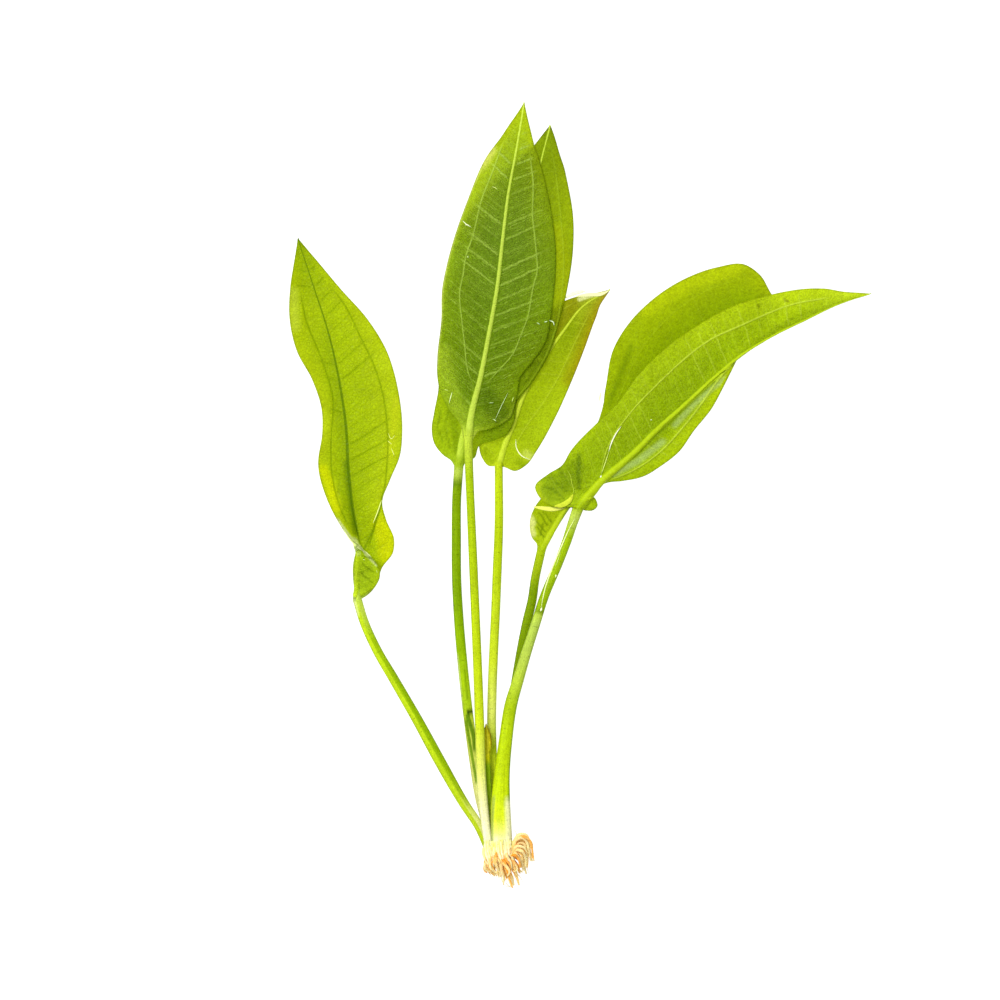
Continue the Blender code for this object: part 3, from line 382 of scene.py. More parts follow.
        veins=(((7, 5.8), (9, 13.8), (10.6, 17.6), (16, 25.3), (26.2, 36.2), (39, 47.4), (43.2, 50.2),
            (50.2, 53.4), (57.3, 56.6), (67.8, 60.8), (81.3, 63.4)),
            ((9, 4.4), (17, 7.6), (26, 13.6), (33, 21), (40, 30), (46, 38.4), (56, 48))),
        vein=(200, 222, 70), rib=(184, 208, 22), cross=(4.6, -0.35, 0.7), wave=(0.3, 28, 0.0),
        fine=0.85, main=0.9, ridge=0.7, clear=0.56, glow=0.95, tip=(1.8, 0.1), beyond=1.0, net=1.6,
        base_firm=0.75,
        marks=(
            # painted sheen: pale grey-green streaks right of the midrib, in place of gloss
            (((11.4, 6.8), (19, 10.8), (27, 17)), 0.2, 1.5, (184, 208, 130), 0.6, (("v", 0.12, 0.8),)),
            (((31, 22.4), (37, 29), (43, 34.4), (47.6, 37.4)), 0.2, 1.3, (190, 214, 130), 0.6,
             (("v", 0.12, 0.8),)),
            (((-9.4, 3), (-5, 4.4), (-1.6, 8)), 2.0, 3.6, (116, 146, 0), 0.5, (("v", -1, -0.1),)),
            (((9, 5.2), (17.4, 12), (25.8, 20), (34, 27.6), (44, 36.4)), 0.1, 0.8, (122, 150, 0), 0.6,
             (("v", 0.05, 0.5),)),
            # painted shade: dark lines in the creases of the curled base
            (((0.3, 12.8), (0.1, 7), (0.3, 2.2)), 0.25, 0.7, (96, 126, 0), 0.8, (("v", -1, 0),)),
            *same(0.1, 0.4, (104, 134, 0), 0.7, (("v", -1, 0),), ((-2.4, 3), (-6, 8.4)),
                ((-3.4, 1), (-9, 5.6)), ((-4.6, -1), (-8.6, 2), (-12, 2.4))),
            (((-6, -1.6), (-10, -1.4)), 0.1, 0.4, (110, 138, 0), 0.6, (("v", -1, 0),)),
            (((-12.4, 3.4), (-13, 0.6), (-10.6, -2)), 0.5, 0.7, (196, 216, 20), 0.6,
             (("v", -1, -0.6),)),
            (((66, 62.4), (67.4, 62)), 0.25, 0.3, (120, 120, 10), 0.7, ()),
            (((57.6, 60.8), (58, 60.4)), 0.2, 0.3, (130, 140, 0), 0.7, ()),
            (((-21.9, -114), (-21.9, -106), (-22.2, -98)), 0.4, 1.6, (252, 250, 196), 0.75,
             (("v", 0, 1),)),
            # painted shade down the right side of the stalk
            (((-22, -97), (-21.6, -88), (-20.6, -76), (-19, -64)), 0.1, 0.9, (140, 182, 0), 0.55,
             (("v", 0.4, 1),)),
            (((-27.6, -113.6), (-27.5, -104), (-27, -97)), 0.2, 0.6, (160, 182, 90), 0.6,
             (("v", -1, 0),)),
            (((-27, -113.5), (-22, -113.5)), 0.4, 2.0, (255, 232, 176), 0.8, ()))),
    "back_right_leaf": dict(
        stalk=((0, (252, 250, 200)), (16, (244, 248, 140)), (30, (180, 206, 14)), (50, (136, 168, 0)),
            (84, (140, 172, 0)), (90, (176, 202, 14)), (96, (184, 208, 16))),
        inner=((0, (190, 210, 20)), (0.2, (150, 176, 2)), (0.6, (144, 170, 0)), (1, (150, 176, 6))),
        outer=((0, (176, 200, 10)), (0.3, (158, 182, 4)), (0.7, (172, 192, 8)), (1, (170, 190, 10))),
        veins=(((-9.6, -3.2), (-1, 10.6), (7, 19.2), (12.8, 30.4), (19.8, 45.8), (31, 58.6),
            (43.8, 66.6), (53.4, 69.4)),
            ((-2, 0), (10, 12), (22, 22), (34, 34), (46, 47), (56, 54))),
        vein=(172, 196, 24), rib=(190, 210, 30), cross=(5, -0.4, 0.35), wave=(0.35, 30, 0.5), main=0.3,
        border=0.32, net=1.8,
        marks=(
            # painted shade: a crease shadow
            (((17, 47.5), (14.6, 41), (11.4, 33), (9.8, 29)), 0.1, 1.5, (112, 140, 0), 0.55,
             (("v", -1, 0),)),
            (((22, 60), (36, 69), (50, 73)), 1.4, 2.6, (196, 212, 14), 0.5, (("v", -1, 0),)),
            (((7.4, 33.6), (6.8, 29.6)), 0.35, 0.5, (236, 244, 170), 0.9, ()),
            (((-15.6, -7.4), (-14.8, -9)), 0.8, 1.0, (242, 246, 150), 0.8, (("u", 0, 0.3),)),
            (((-15, -11.2), (-14.6, -12.4)), 0.7, 0.9, (242, 246, 150), 0.75, (("u", 0, 0.3),)),
            *same(0.1, 0.3, (96, 124, 0), 0.8, (("u", 0, 0.4),), ((-12.8, -5.6), (-9.8, -9.6)),
                ((-11, -5.4), (-8.6, -8.6)), ((-13.4, -7.8), (-10.6, -11.8)),
                ((-13, -10.4), (-11, -13.6))),
            (((-11.2, -9), (-12, -12.8)), 0.1, 0.3, (96, 124, 0), 0.7, (("u", 0, 0.4),)))),
    "young_leaf": dict(
        stalk=((0, (222, 230, 110)), (10, (190, 214, 50)), (18, (150, 190, 4)), (27, (150, 190, 4)),
            (29, (216, 220, 0)), (31, (232, 226, 20))),
        inner=((0, (234, 236, 10)), (0.4, (226, 220, 30)), (0.75, (200, 186, 10)), (1, (166, 142, 10))),
        outer=((0, (186, 194, 0)), (0.4, (160, 148, 4)), (1, (140, 116, 4))),
        veins=(None, None),
        vein=(150, 140, 10), rib=(206, 200, 30), cross=(2.4, -0.4, 0.2), wave=(0, 10, 0), clear=0.2,
        base_firm=0.8, stalk_firm=0.8,
        marks=()),
}


def curve(points, at):
    """The smooth curve through the points, read at shares of its chord length."""
    p = np.array(points, float)
    k = np.concatenate(([0], np.cumsum(np.linalg.norm(np.diff(p[:, :3], axis=0), axis=1))))
    k /= k[-1]
    slope = np.gradient(p, k, axis=0)
    i = np.clip(np.searchsorted(k, at, side="right") - 1, 0, len(k) - 2)
    h = (k[i + 1] - k[i])[:, None]
    t = (at[:, None] - k[i][:, None]) / h
    return ((2 * t**3 - 3 * t**2 + 1) * p[i] + (t**3 - 2 * t**2 + t) * h * slope[i]
            + (3 * t**2 - 2 * t**3) * p[i + 1] + (t**3 - t**2) * h * slope[i + 1])


def unit(v):
    return v / np.maximum(np.linalg.norm(v, axis=-1, keepdims=True), 1e-9)


def step(x, low, high):
    """0 below low, 1 above high and smooth between them."""
    t = np.clip((x - low) / (high - low), 0, 1)
    return t * t * (3 - 2 * t)


def travelled(points):
    """Distance from the first point to each one, along the line."""
    return np.concatenate(([0], np.cumsum(np.linalg.norm(np.diff(points, axis=0), axis=1))))


def crossing(line, start, end):
    """Share of the way from each start to its end at which it crosses the line, all seen from above."""
    p = curve(line, np.linspace(0, 1, 400))[:, :2]
    found = np.full(len(start), np.nan)
    for i, (a, b) in enumerate(zip(start[:, :2], end[:, :2])):
        w = b - a
        rel = p - a
        side = rel[:, 0] * w[1] - rel[:, 1] * w[0]
        share = rel @ w / max(w @ w, 1e-9)
        hit = np.nonzero((side[:-1] * side[1:] <= 0) & (share[:-1] > 0.03) & (share[:-1] < 0.97))[0]
        if len(hit):
            j = hit[0]
            t = side[j] / (side[j] - side[j + 1] + 1e-12)
            found[i] = share[j] + t * (share[j + 1] - share[j])
    good = np.nonzero(~np.isnan(found))[0]
    if not len(good):
        return np.full(len(start), 0.5), np.zeros(len(start))
    index = np.arange(len(start))
    at = np.interp(index, good, found[good])
    window = np.hanning(9) / np.hanning(9).sum()
    at = np.convolve(np.pad(at, 4, mode="edge"), window, mode="valid")
    span = np.clip(np.minimum(index - good[0] + 1, good[-1] - index + 1) / 10.0, 0, 1)
    return at, span


def spread(ratio, reach, vein):
    """Columns of one half of the blade: closer together on the keel and beside the main side vein."""
    n = HALF_COLUMNS
    t = np.arange(n + 1) / n
    grid = np.linspace(0, 1, 300)
    out = np.empty((len(ratio), n + 1))
    for i, (r, size, v) in enumerate(zip(ratio, reach, vein)):
        density = (1 + 3.5 * np.exp(-((grid / (1.25 * r + 0.02)) ** 2))
                   + 2.2 * np.exp(-(((grid - v) * size / 0.9) ** 2))
                   + 1.5 * np.exp(-(((1 - grid) * size / 0.8) ** 2)))
        total = np.concatenate(([0], np.cumsum((density[1:] + density[:-1]) / 2)))
        out[i] = np.interp(t, total / total[-1], grid)
    blend = np.clip(ratio, 0, 1)[:, None] ** 2
    return (1 - blend) * out + blend * np.sin(t * math.pi / 2)


def leaf_grid(leaf, look):
    """The leaf's middle surface as a grid of stations by columns, and what is known at each point."""
    n = HALF_COLUMNS
    line = curve(leaf["stalk"], np.linspace(0, 1, STALK_STATIONS))
    along = line[:-1]
    run = unit(np.gradient(line[:, :3], axis=0))
    side = unit(np.cross(run, (0, 0, 1)))
    out = np.sin(np.arange(-n, n + 1) / n * math.pi / 2)
    stalk = along[:, None, :3] + side[:-1, None] * along[:, None, 3, None] * out[None, :, None]

    u = 0.998 * np.linspace(0, 1, BLADE_STATIONS) ** 1.1
    rib = curve(leaf["rib"], u)
    tangent = unit(np.gradient(rib[:, :3], axis=0))
    joint, width = rib[0, :3], leaf["stalk"][-1][3]
    stalk_mm = travelled(line[:, :3])
    rib_mm = stalk_mm[-1] + travelled(rib[:, :3])
    parts = {k: [] for k in ("point", "v", "far", "axial", "away", "lat", "lat_k", "rim")}
    for sign, points, bulge, lead, vein in zip((-1, 1), (leaf["left"], leaf["right"]), leaf["bulge"],
                                               leaf["lead"], look["veins"]):
        edge = curve(((joint + sign * side[-1] * width),) + points, u**lead)
        w = edge - rib[:, :3]
        reach = np.linalg.norm(w, axis=1)
        ratio = rib[:, 3] / np.maximum(reach, rib[:, 3])
        at, span = crossing(vein, rib, edge) if vein else (0.5 + 0 * u, 0 * u)
        v = spread(ratio, reach, at)
        up = unit(np.cross(tangent, sign * w) * -1)
        lift = bulge * reach / reach.max()
        point = (rib[:, None, :3] * (1 - v[:, :, None]) + edge[:, None] * v[:, :, None]
                 + (4 * v * (1 - v) * lift[:, None])[:, :, None] * up[:, None])
        skew = np.sum(w * tangent, axis=1)
        width_mm = np.sqrt(np.maximum(reach**2 - skew**2, 1e-6))
        half = dict(point=point, v=sign * v, far=v * (reach / np.maximum(rib[:, 3], 1e-6))[:, None],
                    axial=rib_mm[:, None] + skew[:, None] * v, away=sign * width_mm[:, None] * v,
                    lat=(at[:, None] - v) * width_mm[:, None], lat_k=span[:, None] + 0 * v,
                    rim=(1 - v) * width_mm[:, None])
        for key, value in half.items():
            parts[key].append(value[:, :0:-1] if sign < 0 else value)
    blade = {k: np.concatenate(value, axis=1) for k, value in parts.items()}
    reach, pinch = look.get("tip", (0, 0))
    late = np.clip((u - 0.86) / 0.14, 0, 1)
    narrowed = (1 - pinch * np.sin(math.pi * late) ** 2)[:, None, None]
    middle = rib[:, None, :3]
    blade["point"] = middle + (blade["point"] - middle) * narrowed
    blade["point"] += (late**3 * reach)[:, None, None] * tangent[-8]

    def noted(on_stalk, on_blade):
        flat = np.zeros((len(along), len(out)))
        return np.concatenate((on_stalk + flat, on_blade + 0 * blade["v"]))

    return dict(
        point=np.concatenate((stalk, blade["point"])),
        u=noted(0, u[:, None]),
        v=noted(out, blade["v"]),
        far=noted(np.abs(out), blade["far"]),
        axial=noted(stalk_mm[:-1, None], blade["axial"]),
        away=noted(along[:, 3, None] * out, blade["away"]),
        lat=noted(FAR_OFF, blade["lat"]),
        lat_k=noted(0, blade["lat_k"]),
        rim=noted(FAR_OFF, blade["rim"]),
        keel=noted(along[:, 4, None], rib[:, 3, None]),
        fade=noted(1, np.clip(1 - u / KEEL_FADE, 0, 1)[:, None]),
        stalk=noted(1, 1 - step(u, 0.0, 0.06)[:, None]),
        run=noted(stalk_mm[:-1, None], rib_mm[:, None]))


def leaf_skins(leaf, look, grid):
    """Top and bottom skins: the thickness, the keel, side veins, quilting and waves of the blade."""
    middle = grid["point"].copy()
    blade = 1 - grid["stalk"]
    height, length, lift = look["wave"]
    sign = np.sign(grid["v"])
    edge = np.abs(grid["v"]) ** 2
    phase = grid["run"] / max(length, 1) * 2 * math.pi
    wave = (np.sin(phase + 1.1 * sign) + 0.5 * np.sin(2.3 * phase - 0.7 * sign)) * edge
    x, y = middle[..., 0], middle[..., 1]
    pucker = (np.sin(0.9 * x + 0.5 * y) * np.sin(0.75 * y - 0.35 * x)
              + 0.6 * np.sin(2.1 * x - 0.8 * y + 1) * np.sin(1.7 * y + 0.6 * x))
    middle[..., 2] += blade * (height * (wave + lift * edge) + PUCKER * pucker)

    normal = unit(np.cross(np.gradient(middle, axis=1), np.gradient(middle, axis=0)))
    if normal[STALK_STATIONS // 2, HALF_COLUMNS, 2] < 0:
        normal = -normal
    reach = np.abs(grid["away"]) + grid["rim"]
    thin = np.sqrt(1 - (1 - np.clip(grid["rim"] / 0.6, 0, 1)) ** 2)
    half_t = BLADE_T / 2 * (0.3 + 0.7 * thin) * np.clip(reach / 1.5, 0.25, 1)
    extra = np.maximum(grid["keel"] ** 2 - half_t**2, 0)
    keel = np.sqrt(half_t**2 + extra * np.clip(1 - grid["far"] ** 2, 0, 1))
    plain = half_t + (keel - half_t) * grid["fade"]
    spacing, rise, strength = look["cross"]
    row = (grid["axial"] + rise * np.abs(grid["away"])) / spacing
    inside = step(np.abs(grid["away"]), 0.8, 2.5) * step(grid["rim"], 0.2, 2.0) * blade
    relief = (MAIN_RELIEF * np.exp(-((grid["lat"] / 0.4) ** 2)) * grid["lat_k"] * blade
              + CROSS_RELIEF * (np.cos(2 * math.pi * row) ** 9) * inside * strength)
    if leaf["keel"] > 0:
        over, under = keel + relief, plain - 0.5 * relief
    else:
        over, under = plain - 0.8 * relief, keel + relief
    top = middle + normal * over[..., None]
    bottom = middle - normal * under[..., None]
    bottom[..., 2] = np.maximum(bottom[..., 2], LOWEST)
    top[..., 2] = np.maximum(top[..., 2], LOWEST_TOP)
    grid["row"] = row
    return top, bottom


def near_line(x, y, points):
    """Distance from every point to a line of points, seen from above."""
    p = np.array(points, float)
    if len(p) == 1:
        return np.hypot(x - p[0, 0], y - p[0, 1])
    best = np.full(x.shape, np.inf)
    for a, b in zip(p[:-1], p[1:]):
        w = b - a
        t = np.clip(((x - a[0]) * w[0] + (y - a[1]) * w[1]) / max(w @ w, 1e-9), 0, 1)
        best = np.minimum(best, np.hypot(x - a[0] - t * w[0], y - a[1] - t * w[1]))
    return best


def ramp(x, stops):
    at = [s[0] for s in stops]
    colours = np.array([rgb(*s[1]) for s in stops])
    return np.stack([np.interp(x, at, colours[:, i]) for i in range(3)], axis=-1)


def paint(grid, look):
    """The leaf's colour at every grid point, before veins and mottling; some marks are painted light
    and shade.
    """
    v = np.abs(grid["v"])
    margin = step(v, 0.25, 0.95)[..., None]
    colour = ramp(grid["u"], look["inner"]) * (1 - margin) + ramp(grid["u"], look["outer"]) * margin
    stalk = grid["stalk"][..., None]
    colour = colour * (1 - stalk) + ramp(grid["run"], look["stalk"]) * stalk
    x, y = grid["point"][..., 0], grid["point"][..., 1]
    for points, size, soft, tone, strength, limits in look["marks"]:
        mask = strength + 0 * x
        if points:
            mask = strength * (1 - step(near_line(x, y, points), size, size + soft))
        for key, low, high, *blur in limits:
            blur = blur[0] if blur else 0.03
            mask = mask * step(grid[key], low - blur, low) * (1 - step(grid[key], high, high + blur))
        colour = colour * (1 - mask[..., None]) + rgb(*tone) * mask[..., None]
    return colour


def add_object(name, points, faces, material, attributes=None, tint=None):
    points = np.asarray(points, float) * MM
    mesh = bpy.data.meshes.new(name)
    mesh.from_pydata(points.tolist(), [], faces)
    mesh.validate()
    mesh.shade_smooth()
    for key, value in (attributes or {}).items():
        layer = mesh.attributes.new(key, "FLOAT", "POINT")
        layer.data.foreach_set("value", np.ascontiguousarray(value, np.float32))
    if tint is not None:
        layer = mesh.attributes.new("tint", "FLOAT_COLOR", "POINT")
        full = np.concatenate((tint, np.ones((len(tint), 1))), axis=1)
        layer.data.foreach_set("color", np.ascontiguousarray(full.ravel(), np.float32))
    mesh.materials.append(material)
    obj = bpy.data.objects.new(name, mesh)
    bpy.context.scene.collection.objects.link(obj)
    return obj


def outward(points, faces):
    """The faces, turned round if they would enclose a negative volume."""
    p = np.asarray(points, float)
    total = 0.0
    for f in (np.array([f for f in faces if len(f) == 4]), np.array([f for f in faces if len(f) == 3])):
        if len(f):
            a, b, c = p[f[:, 0]], p[f[:, 1]], p[f[:, 2]]
            total += np.einsum("ij,ij->", a, np.cross(b, c))
            if f.shape[1] == 4:
                total += np.einsum("ij,ij->", a, np.cross(c, p[f[:, 3]]))
    return [f[::-1] for f in faces] if total < 0 else faces


def closed_faces(count, size):
    """Faces of a skin over closed rings, with a point at each end."""
    faces = [(r + j, r + (j + 1) % size, r + size + (j + 1) % size, r + size + j)
             for r in range(0, (count - 1) * size, size) for j in range(size)]
    faces += [(count * size, (j + 1) % size, j) for j in range(size)]
    base = (count - 1) * size
    faces += [(count * size + 1, base + j, base + (j + 1) % size) for j in range(size)]
    return faces


# What the leaf's material reads from the grid.
KNOWN = ("u", "v", "lat", "lat_k", "rim", "axial", "away", "row", "run", "stalk", "keel")
SKINS = {}  # upper skin of each leaf, on which its raised strips are laid


def add_leaf(name, material):
    leaf, look = LEAVES[name], LOOKS[name]
    grid = leaf_grid(leaf, look)
    top, bottom = leaf_skins(leaf, look, grid)
    SKINS[name] = top.reshape(-1, 3)
    rings = np.concatenate((top, bottom[:, ::-1]), axis=1)
    tip = rings[-1].mean(axis=0) + unit(rings[-1].mean(axis=0) - rings[-2].mean(axis=0)) * 0.15
    points = np.concatenate((rings.reshape(-1, 3), rings[:1].mean(axis=1), tip[None]))
    faces = outward(points, closed_faces(len(rings), rings.shape[1]))

    def both(a):
        flat = np.concatenate((a, a[:, ::-1]), axis=1).reshape(-1, *a.shape[2:])
        return np.concatenate((flat, flat[:1], flat[-1:]))

    attributes = {key: both(grid[key]) for key in KNOWN}
    upper = np.concatenate((np.ones(top.shape[:2]), -np.ones(top.shape[:2])), axis=1).ravel()
    attributes["upper"] = np.concatenate((upper, (1, 1)))
    piece = add_object(name + "_skin", points, faces, material, attributes, both(paint(grid, look)))
    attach(piece, "root")
    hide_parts(name)
    "young_leaf" if name == "young_leaf" else "leaf"


class Value:
    """A value inside a shader: each operator on it adds one Math node."""

    def __init__(self, net, socket):
        self.net, self.socket = net, socket

    def __add__(self, other):
        return self.net.op("ADD", self, other)

    def __sub__(self, other):
        return self.net.op("SUBTRACT", self, other)

    def __rsub__(self, other):
        return self.net.op("SUBTRACT", other, self)

    def __mul__(self, other):
        return self.net.op("MULTIPLY", self, other)

    def __rmul__(self, other):
        return self.net.op("MULTIPLY", other, self)

    def __truediv__(self, other):
        return self.net.op("DIVIDE", self, other)

    def __abs__(self):
        return self.net.op("ABSOLUTE", self)

    def __round__(self):
        return self.net.op("ROUND", self)


class Net:
    """A material's node tree, built from small calls."""

    def __init__(self, name):
        self.material = bpy.data.materials.new(name)
        self.material.use_nodes = True
        self.tree = self.material.node_tree
        self.tree.nodes.clear()

    def add(self, kind, inputs, output=0, **settings):
        """An output of a new node, whose inputs are given by name or number."""
        node = self.tree.nodes.new(kind)
        for key, value in settings.items():
            setattr(node, key, value)
        for key, value in inputs.items():
            socket = node.inputs[key]
            if isinstance(value, Value):
                self.tree.links.new(value.socket, socket)
            elif value is not None:
                socket.default_value = (*value, 1) if socket.type == "RGBA" else value
        return Value(self, node.outputs[output]) if len(node.outputs) else None

    def op(self, kind, a, b=None, clamp=False):
        return self.add("ShaderNodeMath", {0: a, 1: b}, operation=kind, use_clamp=clamp)

    def most(self, a, b):
        return self.op("MAXIMUM", a, b)

    def attr(self, name, output="Fac"):
        return self.add("ShaderNodeAttribute", {}, output, attribute_name=name)

    def millimetres(self):
        return self.lit(self.add("ShaderNodeTexCoord", {}, "Object"), 1000.0)

    def fade(self, value, low, high, a=0.0, b=1.0):
        """a below low, b above high and smooth between them."""
        return self.add("ShaderNodeMapRange", {0: value, 1: low, 2: high, 3: a, 4: b},
                        interpolation_type="SMOOTHSTEP")

    def vector(self, x, y, z=0.0):
        return self.add("ShaderNodeCombineXYZ", {0: x, 1: y, 2: z})

    def noise(self, vector, scale, detail=2.0, rough=0.5):
        return self.add("ShaderNodeTexNoise",
                        dict(Vector=vector, Scale=scale, Detail=detail, Roughness=rough), "Fac")

    def cells(self, vector, scale):
        """Distance to the nearest border between cells."""
        return self.add("ShaderNodeTexVoronoi", dict(Vector=vector, Scale=scale), "Distance",
                        feature="DISTANCE_TO_EDGE")

    def chance(self, value, seed):
        """A number from 0 to 1 that is the same wherever the value is."""
        return self.add("ShaderNodeTexWhiteNoise", dict(Vector=self.vector(value, seed)), "Value",
                        noise_dimensions="2D")

    def blend(self, share, a, b):
        return self.add("ShaderNodeMix", {"Factor": share, 6: a, 7: b}, 2, data_type="RGBA")

    def lit(self, colour, value):
        return self.add("ShaderNodeVectorMath", {0: colour, "Scale": value}, operation="SCALE")

    def swing(self, value, middle, amount):
        """1 where the value is at its middle, more above it and less below."""
        return value * amount + (1 - middle * amount)

    def skin_filter(self, colour, bright):
        """Light is filtered by the lower and by the upper skin, so each one takes the square root."""
        return self.lit(self.add("ShaderNodeGamma", dict(Color=colour, Gamma=0.5)), bright)

    def bump(self, height, strength, distance):
        return self.add("ShaderNodeBump", dict(Strength=strength, Distance=distance, Height=height))

    def output(self, share, front, through):
        """Mixes a reflecting and a translucent shader, each with the inputs given."""
        front = self.add("ShaderNodeBsdfPrincipled", front)
        through = self.add("ShaderNodeBsdfTranslucent", through)
        mixed = self.add("ShaderNodeMixShader", {0: share, 1: front, 2: through})
        self.add("ShaderNodeOutputMaterial", {"Surface": mixed})


def leaf_material(name, look):
    """Leaf tissue: mottled, netted with veins, part of the light reflected and the rest let through."""
    net = Net(name)
    vein, rib = tuple(rgb(*look["vein"])), tuple(rgb(*look["rib"]))
    spacing, _, strength = look["cross"]
    pale, clear = look.get("pale", 1.0), look.get("clear", 0.8)
    mm = net.millimetres()
    away, axial, row, v = net.attr("away"), net.attr("axial"), net.attr("row"), net.attr("v")
    run, stalk, rim, lat = net.attr("run"), net.attr("stalk"), net.attr("rim"), net.attr("lat")
    blade = 1 - stalk
    off = abs(away)
    aligned = net.vector(axial, away)

    # mottling: broad clouds, small blotches, grain and the fine net of cells between the veins
    clouds = net.noise(mm, 0.11, 3, 0.55)
    blotch = net.noise(mm, 0.7, 3, 0.62)
    grain = net.noise(aligned, 2.3, 3, 0.7)
    warped = net.vector(axial + grain * 0.8, away + blotch * 1.5)
    cell = net.cells(warped, 0.95)
    threads = (1 - net.fade(cell, 0.0, 0.17)) * blade
    value = net.swing(clouds, 0.5, 0.26)
    value = value * net.swing(blotch, 0.5, 0.5)
    value = value * net.swing(grain, 0.5, 0.62 * look.get("net", 1.0))
    value = value * net.swing(threads, 0.25, look.get("cells", 0.2) * pale)
    pit = net.fade(net.noise(mm, 1.15, 1, 0.3), 0.72, 0.8) * blade
    value = value * (1 - pit * 0.22)
    border = (1 - net.fade(rim, 0.12, 0.5)) * blade
    value = value * (1 - border * look.get("border", 0.3))

    # stalks: darker flanks, long fibres, short dark cross dashes and flecks
    fibre = net.noise(net.vector(run * 0.05, v * 2.6, net.attr("upper")), 1.7, 3, 0.65)
    flank = net.fade(abs(v), 0.62, 1.0)
    dash_row = run * 0.62 + (blotch - 0.5) * 0.35
    dash_at = round(dash_row)
    dash = 1 - net.fade(abs(dash_row - dash_at), 0.03, 0.12)
    spot = net.noise(net.vector(dash_at * 3.7, v * 1.6), 1.0, 1, 0.5)
    dash = dash * net.fade(spot, 0.52, 0.66)
    fleck = net.fade(net.noise(net.vector(run * 0.9, away * 1.2), 1.3, 1, 0.4), 0.7, 0.78)
    shade = flank * 0.26 + (0.5 - fibre) * 0.75
    ticks = net.most(dash * 0.42, fleck * 0.4)
    shade = shade + ticks * net.fade(run, 8, 50, 0.2, 1.0)
    value = value * (1 - stalk * shade)
    colour = net.lit(net.attr("tint", "Color"), value)

    # side veins, cross veins and the midrib
    wobble = (net.noise(aligned, 0.45, 2) - 0.5) * 0.2
    shifted = row + wobble
    whole = round(shifted)
    gap = abs(shifted - whole) * spacing
    luck = net.chance(whole + net.op("SIGN", away) * 0.31, 3.7)
    between = net.fade(off, 0.6, 1.4) * net.fade(rim, 0.3, 3.0) * blade
    outside = net.fade(lat, -2.0, 0.0, look.get("beyond", 0.3), 1.0)
    wide = look.get("wide", 1.2)
    thread = 1 - net.fade(gap, 0.1 * wide, 0.34 * wide)
    thread = thread * (between * outside)
    thread = thread * net.fade(luck, 0.1, 0.9, 0.3, 1.0)
    thread = thread * net.fade(grain, 0.3, 0.55, 0.45, 1.0)
    fine_row = (row + wobble * 2.0) * (spacing / look.get("fine", 1.05))
    fine_whole = round(fine_row)
    fine = 1 - net.fade(abs(fine_row - fine_whole), 0.06, 0.32)
    fine = fine * between * net.chance(fine_whole, 9.1)
    fine = fine * net.fade(blotch, 0.4, 0.6, 0.2, 1.0)
    main = 1 - net.fade(abs(lat), 0.1, 0.4)
    main = main * net.attr("lat_k") * blade
    main = main * net.fade(grain, 0.25, 0.5, 0.6, 1.0)
    thread = thread * (0.75 * strength)
    lines = net.most(thread, fine * (look.get("ladder", 0.42) * strength))
    lines = net.most(main * look.get("main", 1.0), lines)
    keel = net.most(net.attr("keel"), 0.3)
    width = look.get("ridge", 0.6)
    ridge = 1 - net.fade(off / keel, width, width + 0.35)
    ridge = ridge * net.fade(stalk, 0.3, 1.0, 1.0, 0.0)
    begin = look.get("rib_from", -0.1)
    ridge = ridge * net.fade(net.attr("u"), begin, begin + 0.06)
    colour = net.blend(lines * 0.8, colour, vein)
    colour = net.blend(ridge * look.get("ribbed", 0.85), colour, rib)

    height = lines * (0.5 * pale) + cell * blade * 0.8
    height = height + grain * 0.3
    height = height + fibre * (stalk * 0.5)
    bump = net.bump(height, 0.8, 0.0005)

    # what the veins and the stalk block of the light from below
    firm = max(pale, 0.0)
    solid = lines * (0.45 * firm) + ridge * (0.5 * firm)
    low, high = look.get("base_firm", 0.1), look.get("stalk_firm", 0.3)
    solid = net.most(solid, stalk * net.fade(run, 10, 50, low, high))
    net.output(
        clear * net.op("SUBTRACT", 1, solid, clamp=True),
        {"Base Color": net.lit(colour, 0.9), "Roughness": net.fade(blotch, 0.25, 0.8, 0.26, 0.5),
         "Specular IOR Level": 0.07, "Normal": bump},
        {"Color": net.skin_filter(colour, look.get("glow", 0.9)), "Normal": bump})
    return net.material


def root_material(name, spot=(236, 150, 50), spots=0.45, share=0.3):
    """Root tissue: fibrous, with spots of another colour."""
    net = Net(name)
    mm = net.millimetres()
    blotch = net.noise(mm, 0.55, 3, 0.6)
    grain = net.noise(mm, 2.4, 3, 0.65)
    along, round_it = net.attr("run"), net.attr("turn")
    fibre = net.noise(net.vector(along * 0.5, round_it * 3.0), 2.2, 3, 0.6)
    value = blotch * 0.5 + 0.82
    value = value * (fibre * 0.5 + 0.75)
    colour = net.lit(net.attr("tint", "Color"), value)
    colour = net.blend(net.fade(grain, 0.58, 0.75, 0, spots), colour, tuple(rgb(*spot)))
    net.output(
        share,
        {"Base Color": colour, "Roughness": net.fade(fibre, 0.2, 0.8, 0.45, 0.7),
         "Specular IOR Level": 0.08, "Normal": net.bump(fibre + grain * 0.5, 0.7, 0.0002)},
        {"Color": net.skin_filter(colour, 0.95)})
    return net.material


def ring_skin(path, rings, turn, start, end):
    """Points, faces, distance along, angle and share along of a closed skin over rings of points."""
    count, sides = rings.shape[:2]
    mm, share = travelled(path), np.linspace(0, 1, count)
    points = np.concatenate((rings.reshape(-1, 3), [start, end]))
    run = np.concatenate((np.repeat(mm, sides), mm[:1], mm[-1:]))
    angle = np.concatenate((np.tile(np.abs(turn - math.pi), count), (0, 0)))
    along = np.concatenate((np.repeat(share, sides), (0, 1)))
    return points, closed_faces(count, sides), run, angle, along


